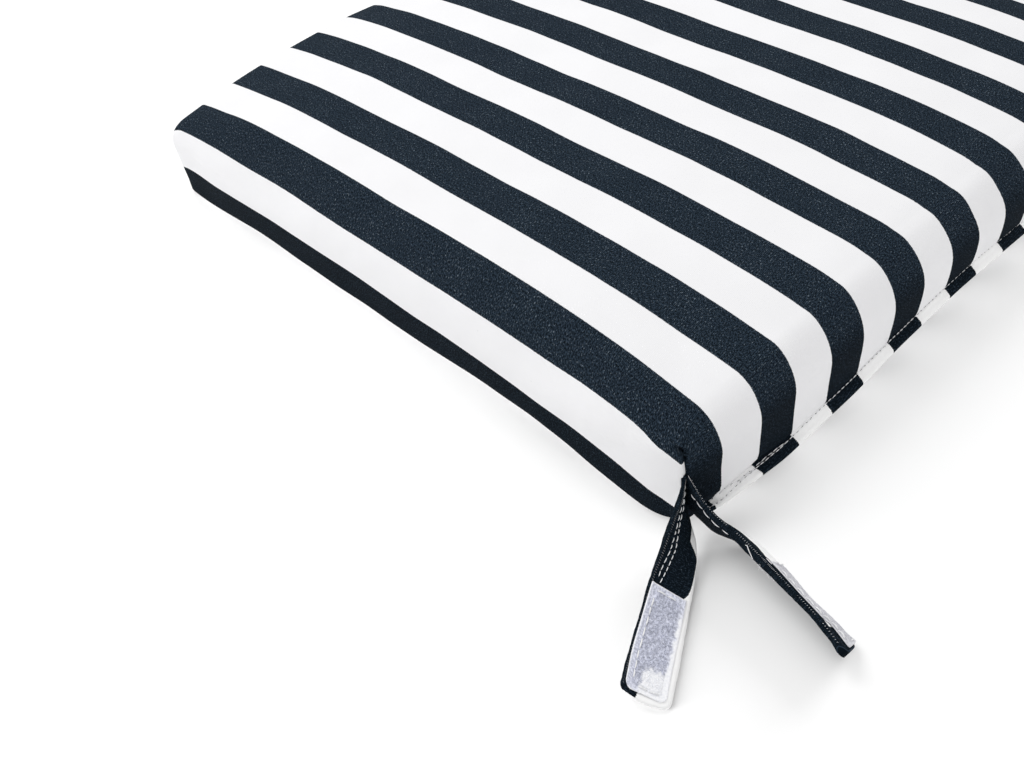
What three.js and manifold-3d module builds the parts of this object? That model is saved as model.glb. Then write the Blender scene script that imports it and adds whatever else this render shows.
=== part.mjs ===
// Chair cushion: a square filled seat cushion with boxed corners, a hem flange along its tied edge
// and two pairs of flat ties, one of each pair with a loop tape patch and the other with a hook tape patch.
// Millimetres, +Z up. The origin is the middle of the flat underside, which lies on the surface.
// +Y runs from the tied edge to the opposite edge, along the stripes of the cloth, and X across the stripes.

import * as THREE from 'three';
import { mergeVertices } from 'three/addons/utils/BufferGeometryUtils.js';
import Module from 'manifold-3d';

const wasm = await Module();
wasm.setup();

// Cushion sizes
const WIDTH = 456;
const LENGTH = 456;
const EDGE_HEIGHT = 51.5;
const HALF_X = WIDTH / 2;
const HALF_Y = LENGTH / 2;

// Rounding of the top edge: plan width of the rounded zone, which is also its height.
// A side's rounding grows from its corner size to its middle size over a stretch of the side.
const SIDE_ROUND_MIDDLE = 30;
const SIDE_ROUND_CORNER = 15;
const SIDE_ROUND_STARTS = 0.98;
const SIDE_ROUND_STRETCH = 0.45;
const HEM_ROUND = 16;
const CORNER_SQUARENESS = 6;

// Crown of the filling above the edge height
const CROWN_ALONG = 17;
const CROWN_ACROSS = 17.7;
const CROWN_SHARED = 4.4;
const CROWN_POWER = 3.27;

// Bulge of each wall at its middle, beyond the line between its corners;
// a side's bulge fades upwards from one height over a stretch, and inwards over a share of the width
const TIED_WALL_BULGE = 9.4;
const FAR_WALL_BULGE = 4;
const SIDE_WALL_BULGE = 3;
const SIDE_BULGE_TOP = 30;
const SIDE_BULGE_FADE = 40;
const SIDE_BULGE_SHARE = 1 / 3;

// Height at which the wall turns under to the flat underside
const TURN_SIDE = 20;
const TURN_HEM = 24.5;
const TURN_CORNER = 2.5;
const TURN_STARTS = 0.93;
const TURN_STRETCH = 0.4;
const TURN_HEM_POWER = 2.2;

// Corners: how far the far ones stick out, and how far the tied ones are drawn in by their seam,
// which ends below the top edge
const FAR_CORNER_OUT = 2.5;
const TIED_CORNER_IN = 3.3;
const TIED_CORNER_POWER = 4;
const CORNER_REACH = 45;
const SEAM_TOP = 38;
const SEAM_FADE = 14;

// Hem flange: the folded seam allowance that stands out along the tied edge
const FLANGE_WIDTH = 6.2;
const FLANGE_END_WIDTH = 2.5;
const FLANGE_ROOT = 5;
const FLANGE_THICKNESS = 2.2;
const FLANGE_DROOP = 1.2;
const FLANGE_END = 206;
const FLANGE_TAPER = 30;
const FLANGE_STEPS = 34;

// Ties and tape patches
const TIE_STEPS = 22;
const TIE_SECTION_POINTS = 10;
const RUN_STEP = 0.01;
const TAPE_THICKNESS = 1.2;
const TAPE_GAP = 0.45;
const TAPE_STEPS = 10;

// Subdivision of the cushion: rounded edges, plain faces, walls
const ROUND_STEPS = 4;
const FACE_STEPS = 20;
const WALL_STEPS = 2;

// Ties at one corner, seen from the cushion's own corner point: a row for each station from the seam
// to the free end, with the stitched edge (sx, sy, sz), the folded edge (fx, fy, fz) and the thickness.
const LOOP_TIE = [
  { sx: 4.6, sy: 4.2, sz: 35, fx: 4.6, fy: 4.2, fz: 13, thick: 2.0 },
  { sx: -1.3, sy: 1.6, sz: 27, fx: 2, fy: -2.5, fz: 8, thick: 2.6 },
  { sx: -9.8, sy: -0.7, sz: 21.5, fx: -1.1, fy: -8.4, fz: 4.7, thick: 3.0 },
  { sx: -22.2, sy: -5.2, sz: 15, fx: -11.6, fy: -18.3, fz: 2, thick: 3.2 },
  { sx: -35.6, sy: -11.1, sz: 10.5, fx: -24.3, fy: -27, fz: 0.9, thick: 3.2 },
  { sx: -53.5, sy: -20.8, sz: 8.5, fx: -42, fy: -38, fz: 0.9, thick: 3.2 },
  { sx: -69.7, sy: -29.5, sz: 8, fx: -59, fy: -48.6, fz: 0.9, thick: 3.2 },
  { sx: -82.4, sy: -37, sz: 8, fx: -73, fy: -56.9, fz: 0.9, thick: 3.0 },
];
const HOOK_TIE = [
  { sx: 6.6, sy: 2.4, sz: 35, fx: 6.6, fy: 2.4, fz: 13, thick: 2.0 },
  { sx: 2.8, sy: -14.5, sz: 25.8, fx: 7, fy: -13, fz: 1.8, thick: 3.4 },
  { sx: 4.2, sy: -29, sz: 19.3, fx: 15, fy: -28, fz: 0.7, thick: 4.8 },
  { sx: 1.7, sy: -43.4, sz: 18.4, fx: 14.6, fy: -44.5, fz: 0.7, thick: 4.8 },
  { sx: 0.3, sy: -52, sz: 17.6, fx: 13.4, fy: -54, fz: 0.7, thick: 4.8 },
  { sx: -2.6, sy: -65, sz: 17, fx: 9.8, fy: -67.5, fz: 0.7, thick: 4.6 },
  { sx: -7.2, sy: -80, sz: 16.2, fx: 6.2, fy: -82.5, fz: 0.7, thick: 4.4 },
  { sx: -12.4, sy: -97.5, sz: 15, fx: 3.6, fy: -94.5, fz: 0.7, thick: 4.0 },
];

// Place of each tape patch on its tie: from and to along the tie, and from and to across it,
// as shares of its length and of the way from the folded to the stitched edge
const LOOP_TAPE = { from: 0.59, to: 0.98, low: 0.22, high: 0.95 };
const HOOK_TAPE = { from: 0.56, to: 0.975, low: 0.18, high: 0.9 };

// Materials
const stripedCanvas = new THREE.MeshStandardMaterial({ color: 0x1a2530, roughness: 0.9, metalness: 0 });
const tieCanvas = new THREE.MeshStandardMaterial({ color: 0x1d2a33, roughness: 0.9, metalness: 0 });
const loopPile = new THREE.MeshStandardMaterial({ color: 0xc9c9d2, roughness: 0.95, metalness: 0 });
const hookStrip = new THREE.MeshStandardMaterial({ color: 0xd6d7dc, roughness: 0.6, metalness: 0 });

// Smooth step from 0 to 1
function ease(t) {
  const c = Math.min(Math.max(t, 0), 1);
  return c * c * (3 - 2 * c);
}

// Crown profile: 0 at the edges, 1 in the middle
function swell(share) {
  return 1 - Math.pow(Math.min(Math.abs(share), 1), CROWN_POWER);
}

// Points along one direction of the cover: close together round the edges, evenly spaced between them
function coverSteps(half, round) {
  const steps = [];
  for (let i = ROUND_STEPS; i > 0; i -= 1) {
    steps.push(-half + round - round * Math.tan((Math.PI / 4) * (i / ROUND_STEPS)));
  }
  for (let i = 0; i <= FACE_STEPS; i += 1) {
    steps.push((half - round) * ((2 * i) / FACE_STEPS - 1));
  }
  for (let i = 1; i <= ROUND_STEPS; i += 1) {
    steps.push(half - round + round * Math.tan((Math.PI / 4) * (i / ROUND_STEPS)));
  }
  return steps;
}

// Levels up a wall: -1 to 0 turns under, 0 to 1 is the wall, 1 to 2 rounds over to the top
function wallLevels() {
  const levels = [];
  for (let i = ROUND_STEPS; i > 0; i -= 1) {
    levels.push(-Math.tan((Math.PI / 4) * (i / ROUND_STEPS)));
  }
  for (let i = 0; i <= WALL_STEPS; i += 1) {
    levels.push(i / WALL_STEPS);
  }
  for (let i = 1; i <= ROUND_STEPS; i += 1) {
    levels.push(1 + Math.tan((Math.PI / 4) * (i / ROUND_STEPS)));
  }
  return levels;
}

// Height at which the wall turns under, along the sides and along the hem walls
function turnHeights(shareX, shareY) {
  const sideShare = ease((TURN_STARTS - shareY) / TURN_STRETCH);
  const hemShare = Math.max(0, 1 - Math.pow(shareX / TURN_STARTS, TURN_HEM_POWER));
  const side = TURN_CORNER + (TURN_SIDE - TURN_CORNER) * sideShare;
  const hem = TURN_CORNER + (TURN_HEM - TURN_CORNER) * hemShare;
  return { side, hem };
}

// The cushion's surface: plan place on the flat cover and level on the wall, to a point in space
function cushionPoint(planX, planY, level) {
  const shareX = Math.abs(planX) / HALF_X;
  const shareY = Math.abs(planY) / HALF_Y;
  const sideRound = SIDE_ROUND_CORNER
    + (SIDE_ROUND_MIDDLE - SIDE_ROUND_CORNER) * ease((SIDE_ROUND_STARTS - shareY) / SIDE_ROUND_STRETCH);

  // Offset from the core that the rounding is wrapped around
  const coreX = THREE.MathUtils.clamp(planX, -HALF_X + SIDE_ROUND_MIDDLE, HALF_X - SIDE_ROUND_MIDDLE);
  const coreY = THREE.MathUtils.clamp(planY, -HALF_Y + HEM_ROUND, HALF_Y - HEM_ROUND);
  const offX = (planX - coreX) / SIDE_ROUND_MIDDLE;
  const offY = (planY - coreY) / HEM_ROUND;
  const offZ = level > 1 ? level - 1 : Math.min(level, 0);
  const powX = Math.abs(offX) ** CORNER_SQUARENESS;
  const powY = Math.abs(offY) ** CORNER_SQUARENESS;
  const spread = powX + powY;
  const hemShare = spread > 0 ? powY / spread : 0;
  const reach = Math.sqrt(spread ** (2 / CORNER_SQUARENESS) + offZ * offZ) || 1;

  // Rounded box
  const round = sideRound + (HEM_ROUND - sideRound) * hemShare;
  const turns = turnHeights(shareX, shareY);
  const turn = turns.side + (turns.hem - turns.side) * hemShare;
  const wall = EDGE_HEIGHT - round - turn;
  let x = coreX * ((HALF_X - sideRound) / (HALF_X - SIDE_ROUND_MIDDLE)) + (offX / reach) * sideRound;
  let y = coreY + (offY / reach) * HEM_ROUND;
  let z = turn + wall * Math.min(Math.max(level, 0), 1);
  if (level > 1) {
    z += (offZ / reach) * round;
  } else if (level < 0) {
    z += (offZ / reach) * turn;
  }

  // Filling: crown and bulging walls
  const swellX = swell(x / HALF_X);
  const swellY = swell(y / HALF_Y);
  const crown = CROWN_ALONG * swellY + CROWN_ACROSS * swellX - CROWN_SHARED * swellX * swellY;
  const height = Math.min(Math.max(z / EDGE_HEIGHT, 0), 1);
  const lift = Math.sqrt(Math.min(Math.max(z / turn, 0), 1));
  const wallBulge = y < 0 ? TIED_WALL_BULGE : FAR_WALL_BULGE;
  const alongOut = wallBulge * swellX * Math.min(Math.abs(y) / HALF_Y, 1) * lift;
  const nearSide = ease((Math.abs(x) / HALF_X - 1) / SIDE_BULGE_SHARE + 1);
  const belowTop = 1 - ease((z - SIDE_BULGE_TOP) / SIDE_BULGE_FADE);
  const acrossOut = SIDE_WALL_BULGE * swellY * nearSide * lift * belowTop;

  // Corners
  const nearCorner = ease((Math.abs(x) - HALF_X + CORNER_REACH) / CORNER_REACH)
    * ease((Math.abs(y) - HALF_Y + CORNER_REACH) / CORNER_REACH);
  const cornerOut = y > 0
    ? FAR_CORNER_OUT * nearCorner * height
    : -TIED_CORNER_IN * nearCorner ** TIED_CORNER_POWER * (1 - ease((z - SEAM_TOP) / SEAM_FADE));
  x += Math.sign(x) * (acrossOut + cornerOut);
  y += Math.sign(y) * (alongOut + cornerOut);
  z += crown * height * height;
  return new THREE.Vector3(x, y, z);
}

// Closed solid of a plain geometry, for joining
function solidOf(geometry) {
  const bare = geometry.clone();
  bare.deleteAttribute('normal');
  bare.deleteAttribute('uv');
  const merged = mergeVertices(bare);
  return new wasm.Manifold(new wasm.Mesh({
    numProp: 3,
    vertProperties: new Float32Array(merged.attributes.position.array),
    triVerts: new Uint32Array(merged.index.array),
  }));
}

// Geometry of a joined solid
function geometryOf(solid) {
  const mesh = solid.getMesh();
  const geometry = new THREE.BufferGeometry();
  geometry.setAttribute('position', new THREE.BufferAttribute(new Float32Array(mesh.vertProperties), 3));
  geometry.setIndex(new THREE.BufferAttribute(new Uint32Array(mesh.triVerts), 1));
  geometry.computeVertexNormals();
  return geometry;
}

// Signed volume of an indexed geometry, negative when its faces point inwards
function signedVolume(geometry) {
  const position = geometry.attributes.position;
  const index = geometry.index.array;
  const corner = [new THREE.Vector3(), new THREE.Vector3(), new THREE.Vector3()];
  let volume = 0;
  for (let i = 0; i < index.length; i += 3) {
    corner.forEach((point, j) => point.fromBufferAttribute(position, index[i + j]));
    volume += corner[0].dot(corner[1].cross(corner[2])) / 6;
  }
  return volume;
}

// Closed skin over a row of rings of points, capped at both ends
function skin(rings) {
  const count = rings[0].length;
  const points = rings.flat();
  const triangles = [];
  for (let r = 0; r < rings.length - 1; r += 1) {
    for (let i = 0; i < count; i += 1) {
      const a = r * count + i;
      const b = r * count + ((i + 1) % count);
      triangles.push(a, b, b + count, a, b + count, a + count);
    }
  }
  const last = (rings.length - 1) * count;
  for (let i = 1; i < count - 1; i += 1) {
    triangles.push(0, i + 1, i);
    triangles.push(last, last + i, last + i + 1);
  }
  const geometry = new THREE.BufferGeometry().setFromPoints(points);
  geometry.setIndex(triangles);
  if (signedVolume(geometry) < 0) {
    for (let i = 0; i < triangles.length; i += 3) {
      [triangles[i + 1], triangles[i + 2]] = [triangles[i + 2], triangles[i + 1]];
    }
    geometry.setIndex(triangles);
  }
  geometry.computeVertexNormals();
  return geometry;
}

// Filled cover without its flange
function filledCover() {
  const across = coverSteps(HALF_X, SIDE_ROUND_MIDDLE);
  const along = coverSteps(HALF_Y, HEM_ROUND);
  const levels = wallLevels();
  const nx = across.length - 1;
  const ny = along.length - 1;
  const nz = levels.length - 1;
  const geometry = new THREE.BoxGeometry(nx, ny, nz, nx, ny, nz);
  const position = geometry.attributes.position;
  for (let i = 0; i < position.count; i += 1) {
    const planX = across[Math.round(position.getX(i) + nx / 2)];
    const planY = along[Math.round(position.getY(i) + ny / 2)];
    const level = levels[Math.round(position.getZ(i) + nz / 2)];
    const point = cushionPoint(planX, planY, level);
    position.setXYZ(i, point.x, point.y, point.z);
  }
  return geometry;
}

// Folded seam allowance along the seam of the tied edge
function hemFlange() {
  const rings = [];
  for (let i = 0; i <= FLANGE_STEPS; i += 1) {
    const along = FLANGE_END * ((2 * i) / FLANGE_STEPS - 1);
    const seam = cushionPoint(along, -HALF_Y, 0);
    const full = ease((FLANGE_END - Math.abs(along)) / FLANGE_TAPER);
    const width = FLANGE_END_WIDTH + (FLANGE_WIDTH - FLANGE_END_WIDTH) * full;
    const half = FLANGE_THICKNESS / 2;
    const root = seam.y + FLANGE_ROOT;
    const edge = seam.y - width;
    const edgeZ = Math.max(seam.z - FLANGE_DROOP, half);
    const rootZ = Math.max(seam.z, half);
    rings.push([
      new THREE.Vector3(seam.x, root, rootZ - half),
      new THREE.Vector3(seam.x, edge + half, edgeZ - half),
      new THREE.Vector3(seam.x, edge, edgeZ),
      new THREE.Vector3(seam.x, edge + half, edgeZ + half),
      new THREE.Vector3(seam.x, root, rootZ + half),
    ]);
  }
  return skin(rings);
}

// Smooth curves of a tie's two edges; side is 1 at the -X corner and -1 at the +X corner
function tieEdges(rows, side) {
  const place = (x, y, z) => new THREE.Vector3(side * (x - HALF_X), y - HALF_Y, z);
  const stitched = new THREE.CatmullRomCurve3(rows.map((row) => place(row.sx, row.sy, row.sz)));
  const folded = new THREE.CatmullRomCurve3(rows.map((row) => place(row.fx, row.fy, row.fz)));
  const thickness = rows.map((row) => row.thick);
  return { stitched, folded, thickness, side };
}

// Frame of a tie at a share of its length: middle, direction across, direction off its upper face,
// width and thickness
function tieFrame(edges, share) {
  const stitched = edges.stitched.getPoint(share);
  const folded = edges.folded.getPoint(share);
  const ahead = Math.min(share + RUN_STEP, 1);
  const behind = Math.max(share - RUN_STEP, 0);
  const run = edges.stitched.getPoint(ahead).add(edges.folded.getPoint(ahead))
    .sub(edges.stitched.getPoint(behind)).sub(edges.folded.getPoint(behind));
  const across = stitched.clone().sub(folded);
  const width = across.length();
  across.normalize();
  const off = across.clone().cross(run).normalize().multiplyScalar(edges.side);
  const middle = stitched.add(folded).multiplyScalar(0.5);
  const station = share * (edges.thickness.length - 1);
  const from = Math.min(Math.floor(station), edges.thickness.length - 2);
  const thick = THREE.MathUtils.lerp(edges.thickness[from], edges.thickness[from + 1], station - from);
  return { middle, across, off, width, thick };
}

// Flat tube of folded cloth; where it lies on the surface its underside is flat
function tieStrip(edges) {
  const rings = [];
  for (let i = 0; i <= TIE_STEPS; i += 1) {
    const frame = tieFrame(edges, i / TIE_STEPS);
    const ring = [];
    for (let j = 0; j < TIE_SECTION_POINTS; j += 1) {
      const angle = (2 * Math.PI * (j + 0.5)) / TIE_SECTION_POINTS;
      const c = Math.cos(angle);
      const s = Math.sin(angle);
      const acrossBy = Math.sign(c) * Math.sqrt(Math.abs(c)) * (frame.width / 2);
      const offBy = Math.sign(s) * Math.sqrt(Math.abs(s)) * (frame.thick / 2);
      const point = frame.middle.clone()
        .addScaledVector(frame.across, acrossBy)
        .addScaledVector(frame.off, offBy);
      point.z = Math.max(point.z, 0);
      ring.push(point);
    }
    rings.push(ring);
  }
  return skin(rings);
}

// Tape patch on the upper face of a tie
function tapePatch(edges, tape) {
  const rings = [];
  for (let i = 0; i <= TAPE_STEPS; i += 1) {
    const share = tape.from + (tape.to - tape.from) * (i / TAPE_STEPS);
    const frame = tieFrame(edges, share);
    const inner = frame.thick / 2 + TAPE_GAP;
    const outer = inner + TAPE_THICKNESS;
    const low = (tape.low - 0.5) * frame.width;
    const high = (tape.high - 0.5) * frame.width;
    const at = (acrossBy, offBy) => frame.middle.clone()
      .addScaledVector(frame.across, acrossBy)
      .addScaledVector(frame.off, offBy);
    rings.push([at(low, inner), at(high, inner), at(high, outer), at(low, outer)]);
  }
  return skin(rings);
}

// Named sub-part
function part(name, geometry, material) {
  const mesh = new THREE.Mesh(geometry, material);
  mesh.name = name;
  return mesh;
}

const cushion = new THREE.Group();
const cover = solidOf(filledCover()).add(solidOf(hemFlange()));
cushion.add(part('cushion', geometryOf(cover), stripedCanvas));

for (const corner of [{ name: 'left', side: 1 }, { name: 'right', side: -1 }]) {
  const loopEdges = tieEdges(LOOP_TIE, corner.side);
  const hookEdges = tieEdges(HOOK_TIE, corner.side);
  cushion.add(part(`loop_tie_${corner.name}`, tieStrip(loopEdges), tieCanvas));
  cushion.add(part(`hook_tie_${corner.name}`, tieStrip(hookEdges), tieCanvas));
  cushion.add(part(`loop_tape_${corner.name}`, tapePatch(loopEdges, LOOP_TAPE), loopPile));
  cushion.add(part(`hook_tape_${corner.name}`, tapePatch(hookEdges, HOOK_TAPE), hookStrip));
}

export default cushion;
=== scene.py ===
import math
import random

import bpy
import numpy as np
from mathutils import Matrix, Vector
from mathutils.kdtree import KDTree


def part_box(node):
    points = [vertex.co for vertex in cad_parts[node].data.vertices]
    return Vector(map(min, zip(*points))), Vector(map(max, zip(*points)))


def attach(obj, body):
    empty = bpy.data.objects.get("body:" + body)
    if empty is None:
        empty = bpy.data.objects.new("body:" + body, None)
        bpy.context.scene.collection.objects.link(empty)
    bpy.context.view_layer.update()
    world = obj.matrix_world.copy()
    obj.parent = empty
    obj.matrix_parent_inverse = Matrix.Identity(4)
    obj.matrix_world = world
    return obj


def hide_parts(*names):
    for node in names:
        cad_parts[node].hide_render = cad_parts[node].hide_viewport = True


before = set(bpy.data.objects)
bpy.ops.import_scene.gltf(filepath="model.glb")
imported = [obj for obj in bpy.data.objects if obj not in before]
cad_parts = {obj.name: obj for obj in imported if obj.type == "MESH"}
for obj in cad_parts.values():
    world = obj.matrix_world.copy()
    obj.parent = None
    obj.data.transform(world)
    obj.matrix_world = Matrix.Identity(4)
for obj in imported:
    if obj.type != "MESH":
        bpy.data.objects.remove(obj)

bl_info = {
    "name": "Striped Chair Cushion",
    "version": (1, 0, 0),
    "blender": (4, 5, 0),
    "location": "3D View > Sidebar > Cushion",
    "description": "Makes a filled box-edge chair cushion in striped canvas, with its hem, ties and tapes",
    "category": "Object",
}

MM = 0.001
TINY = 1e-9
UP = np.array([0, 0, 1.0])
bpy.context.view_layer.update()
BODY = "root"

# The tied corners, each with the sign that turns the left one's shape to it
SIDES = {"left": 1, "right": -1}

# Seeds of the random draws
SEEDS = dict(hem_stitches=7, flange_width=11, flange_waves=17, flange_lumps=19, flange_puckers=21,
             tape_waves=37, tie_stitches=41, pressed_pile=43, overcasting=47, loops=53, hooks=59,
             tape_stitches=61, frayed=67)

# The cushion's driving sizes, its outer ones taken from the frame
COVER_LOW, COVER_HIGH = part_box("cushion")
SIDE_BULGE = 3 * MM
FAR_BULGE = 4 * MM
CROWN_ACROSS = 17.7 * MM
CROWN_ALONG = 17 * MM
CROWN_SHARED = 4.4 * MM
WIDTH = COVER_HIGH.x - COVER_LOW.x - 2 * SIDE_BULGE
LENGTH = 2 * (COVER_HIGH.y - FAR_BULGE)
EDGE_HEIGHT = COVER_HIGH.z - CROWN_ACROSS - CROWN_ALONG + CROWN_SHARED
CROWN_POWER = 3.27

# How far the simulated filling lifts the crown, which starts that much lower
FILLING_LIFT = 1 * MM

# Rounding of the top edge and of the corners
SIDE_ROUND = 30 * MM
SIDE_ROUND_AT_CORNER = 15 * MM
SIDE_ROUND_STARTS = 0.98
SIDE_ROUND_STRETCH = 0.45
HEM_ROUND = 16 * MM
CORNER_SQUARENESS = 6

# Heights at which the walls turn under: least at the corners, and more at the tied end of a side wall
TURN_SIDE = 11.5 * MM
TURN_HEM = 25 * MM
TURN_CORNER = 2.5 * MM
TURN_STARTS = 0.93
TURN_STRETCH = 0.4
TURN_MORE = 8.5 * MM
TURN_MORE_FROM = 60 * MM
TURN_MORE_OVER = 300 * MM
TURN_HEM_POWER = 1.6

# Bulges of the walls, and the corners
SIDE_BULGE_TOP = 30 * MM
SIDE_BULGE_FADE = 40 * MM
SIDE_BULGE_SHARE = 1 / 3
FAR_CORNER_OUT = 2.5 * MM
TIED_CORNER_IN = 3.3 * MM
TIED_CORNER_POWER = 4
CORNER_REACH = 45 * MM
SEAM_TOP = 38 * MM
SEAM_FADE = 14 * MM

# Ties at one corner, in millimetres from the cushion's own corner point: a row for each station from the
# seam to the free end, with the stitched edge, the folded edge and the thickness
TIE_ROWS = {
    "loop": [
        dict(stitched=(6.0, 3.4, 35.4), folded=(5.2, 3.8, 13), thick=1.5),
        dict(stitched=(-0.5, 1.1, 27), folded=(2, -2.5, 8), thick=2.6),
        dict(stitched=(-9.0, -1.2, 21.5), folded=(-1.1, -8.4, 4.7), thick=3.0),
        dict(stitched=(-21.4, -5.7, 15), folded=(-11.6, -18.3, 2), thick=3.2),
        dict(stitched=(-35.3, -11.3, 10.5), folded=(-24.3, -27, 0.9), thick=3.2),
        dict(stitched=(-53.5, -20.8, 8.5), folded=(-42, -38, 0.9), thick=3.2),
        dict(stitched=(-69.7, -29.5, 8), folded=(-59, -48.6, 0.9), thick=3.2),
        dict(stitched=(-82.4, -37, 8), folded=(-73, -56.9, 0.9), thick=3.0),
    ],
    "hook": [
        dict(stitched=(6.9, 2.6, 35.2), folded=(6.6, 2.4, 13), thick=1.5),
        dict(stitched=(2.8, -14.5, 25.8), folded=(8.6, -11.6, 6.4), thick=3.2),
        dict(stitched=(4.2, -29, 19.3), folded=(16.8, -26.6, 0.9), thick=4.6),
        dict(stitched=(1.7, -43.4, 18.4), folded=(14.6, -44.5, 0.7), thick=4.6),
        dict(stitched=(0.3, -52, 17.6), folded=(12.2, -54, 0.7), thick=4.3),
        dict(stitched=(-2.4, -65, 17), folded=(8.2, -67.5, 0.7), thick=3.4),
        dict(stitched=(-5.8, -80.4, 16.1), folded=(6.0, -82.5, 0.7), thick=3.2),
        dict(stitched=(-11.6, -97.8, 14.9), folded=(2.4, -93.4, 0.7), thick=3.8),
    ],
}


class CoverSizes(bpy.types.PropertyGroup):
    """Sizes of the filled cover."""
    width: bpy.props.FloatProperty(
        name="Width", description="Width across the stripes", default=WIDTH, unit="LENGTH")
    length: bpy.props.FloatProperty(
        name="Length", description="Length along the stripes", default=LENGTH, unit="LENGTH")
    edge_height: bpy.props.FloatProperty(
        name="Edge height", description="Height of the boxed edge", default=EDGE_HEIGHT, unit="LENGTH")
    crown_across: bpy.props.FloatProperty(
        name="Crown across", description="Rise of the filling across the stripes",
        default=CROWN_ACROSS - FILLING_LIFT / 2, unit="LENGTH")
    crown_along: bpy.props.FloatProperty(
        name="Crown along", description="Rise of the filling along the stripes",
        default=CROWN_ALONG - FILLING_LIFT / 2, unit="LENGTH")
    tied_bulge: bpy.props.FloatProperty(
        name="Tied wall bulge", description="How far the wall over the hem swells out",
        default=9.4 * MM, unit="LENGTH")
    far_bulge: bpy.props.FloatProperty(
        name="Far wall bulge", description="How far the far wall swells out",
        default=FAR_BULGE, unit="LENGTH")
    side_bulge: bpy.props.FloatProperty(
        name="Side wall bulge", description="How far the side walls swell out",
        default=SIDE_BULGE, unit="LENGTH")
    fill: bpy.props.FloatProperty(
        name="Fill", description="How tightly the cover is filled", default=0.75,
        min=0, max=1, subtype="FACTOR")


class ClothLook(bpy.types.PropertyGroup):
    """Stripes and colours of the canvas."""
    period: bpy.props.FloatProperty(
        name="Stripe repeat", description="Width of one dark and one white stripe",
        default=50 * MM, unit="LENGTH")
    dark_width: bpy.props.FloatProperty(
        name="Dark stripe", description="Width of a dark stripe", default=24.6 * MM, unit="LENGTH")
    dark_start: bpy.props.FloatProperty(
        name="Stripe start", description="Where a dark stripe starts, measured from the middle",
        default=-28.5 * MM, unit="LENGTH")
    twill_pitch: bpy.props.FloatProperty(
        name="Twill pitch", description="Distance between twill lines", default=0.85 * MM, unit="LENGTH")
    dark: bpy.props.FloatVectorProperty(
        name="Dark yarn", description="Colour of the dark stripes",
        default=(0.0025, 0.0055, 0.009), size=3, min=0, max=1, subtype="COLOR")
    # Pale end of the dark yarn's mottling; because painted shade darkens the walls, flange and ties, it also
    # stands for a painted sheen on the top
    mottle_and_sheen: bpy.props.FloatVectorProperty(
        name="Rubbed dark yarn", description="Colour of the dark yarn where its threads catch the light",
        default=(0.032, 0.05, 0.074), size=3, min=0, max=1, subtype="COLOR")
    fleck: bpy.props.FloatVectorProperty(
        name="Flecks", description="Colour of the pale flecks in the dark stripes",
        default=(0.15, 0.185, 0.22), size=3, min=0, max=1, subtype="COLOR")
    white: bpy.props.FloatVectorProperty(
        name="White yarn", description="Colour of the white stripes",
        default=(0.88, 0.878, 0.892), size=3, min=0, max=1, subtype="COLOR")


class HemSizes(bpy.types.PropertyGroup):
    """Sizes of the hem flange, and of the stitches and thread of all sewing."""
    width: bpy.props.FloatProperty(
        name="Flange width", description="How far the flange stands out of its seam",
        default=5.1 * MM, unit="LENGTH")
    end_width: bpy.props.FloatProperty(
        name="End width", description="Width of the flange at its two ends",
        default=1.6 * MM, unit="LENGTH")
    reach: bpy.props.FloatProperty(
        name="Reach", description="Distance of the flange's ends from the middle",
        default=206 * MM, unit="LENGTH")
    thickness: bpy.props.FloatProperty(
        name="Thickness", description="Thickness of the folded flange", default=2.2 * MM, unit="LENGTH")
    stitch: bpy.props.FloatProperty(
        name="Stitch length", description="Length of one stitch", default=2.6 * MM, unit="LENGTH")
    thread: bpy.props.FloatProperty(
        name="Thread", description="Diameter of the sewing thread", default=0.5 * MM, unit="LENGTH")


class TieSizes(bpy.types.PropertyGroup):
    """Sizes of the tapes on the ties."""
    tape_thickness: bpy.props.FloatProperty(
        name="Tape thickness", description="Thickness of a tape's woven strip",
        default=0.5 * MM, unit="LENGTH")
    tape_gap: bpy.props.FloatProperty(
        name="Tape gap", description="Gap between a tape and the ripples of its tie",
        default=0.08 * MM, unit="LENGTH")


class StageLook(bpy.types.PropertyGroup):
    """Camera angle and light."""
    elevation: bpy.props.FloatProperty(
        name="Elevation", description="Angle at which the camera looks down",
        default=math.radians(44.02), subtype="ANGLE")
    azimuth: bpy.props.FloatProperty(
        name="Azimuth", description="Angle of the camera off the cushion's length",
        default=math.radians(36.94), subtype="ANGLE")
    roll: bpy.props.FloatProperty(
        name="Roll", description="Roll of the camera", default=math.radians(-8.61), subtype="ANGLE")
    lens: bpy.props.FloatProperty(
        name="Lens", description="Focal length on a 36 mm sensor", default=39.47, unit="CAMERA")
    place: bpy.props.FloatVectorProperty(
        name="Camera place", description="Where the camera stands",
        default=(-479.4 * MM, -447.1 * MM, 430.6 * MM), size=3, subtype="TRANSLATION")


def ease(share):
    """Smooth step from 0 to 1."""
    c = np.clip(share, 0, 1)
    return c * c * (3 - 2 * c)


def swell(share, power=CROWN_POWER):
    """Crown profile, 0 at the edges and 1 in the middle."""
    return 1 - np.minimum(np.abs(share), 1) ** power


def unit(vector):
    """A vector's direction."""
    return vector / np.linalg.norm(vector)


def units(vectors):
    """The directions of an array of vectors."""
    return vectors / np.linalg.norm(vectors, axis=-1, keepdims=True)


def stray(rng, spread):
    """A random vector, its three parts drawn with the same spread."""
    return np.array([rng.gauss(0, spread) for _ in range(3)])


def table(rows, key, value, at):
    """Values between the rows of a table."""
    return np.interp(at, [row[key] for row in rows], [row[value] for row in rows])


def spaced(low, high, step):
    """Evenly spaced values from low to high, no further apart than step."""
    return np.linspace(low, high, max(int(math.ceil((high - low) / step)), 1) + 1)


def rolled(count):
    """Shares of a rounding, close together where it turns most."""
    return np.tan(math.pi / 4 * np.arange(1, count + 1) / count)


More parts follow.
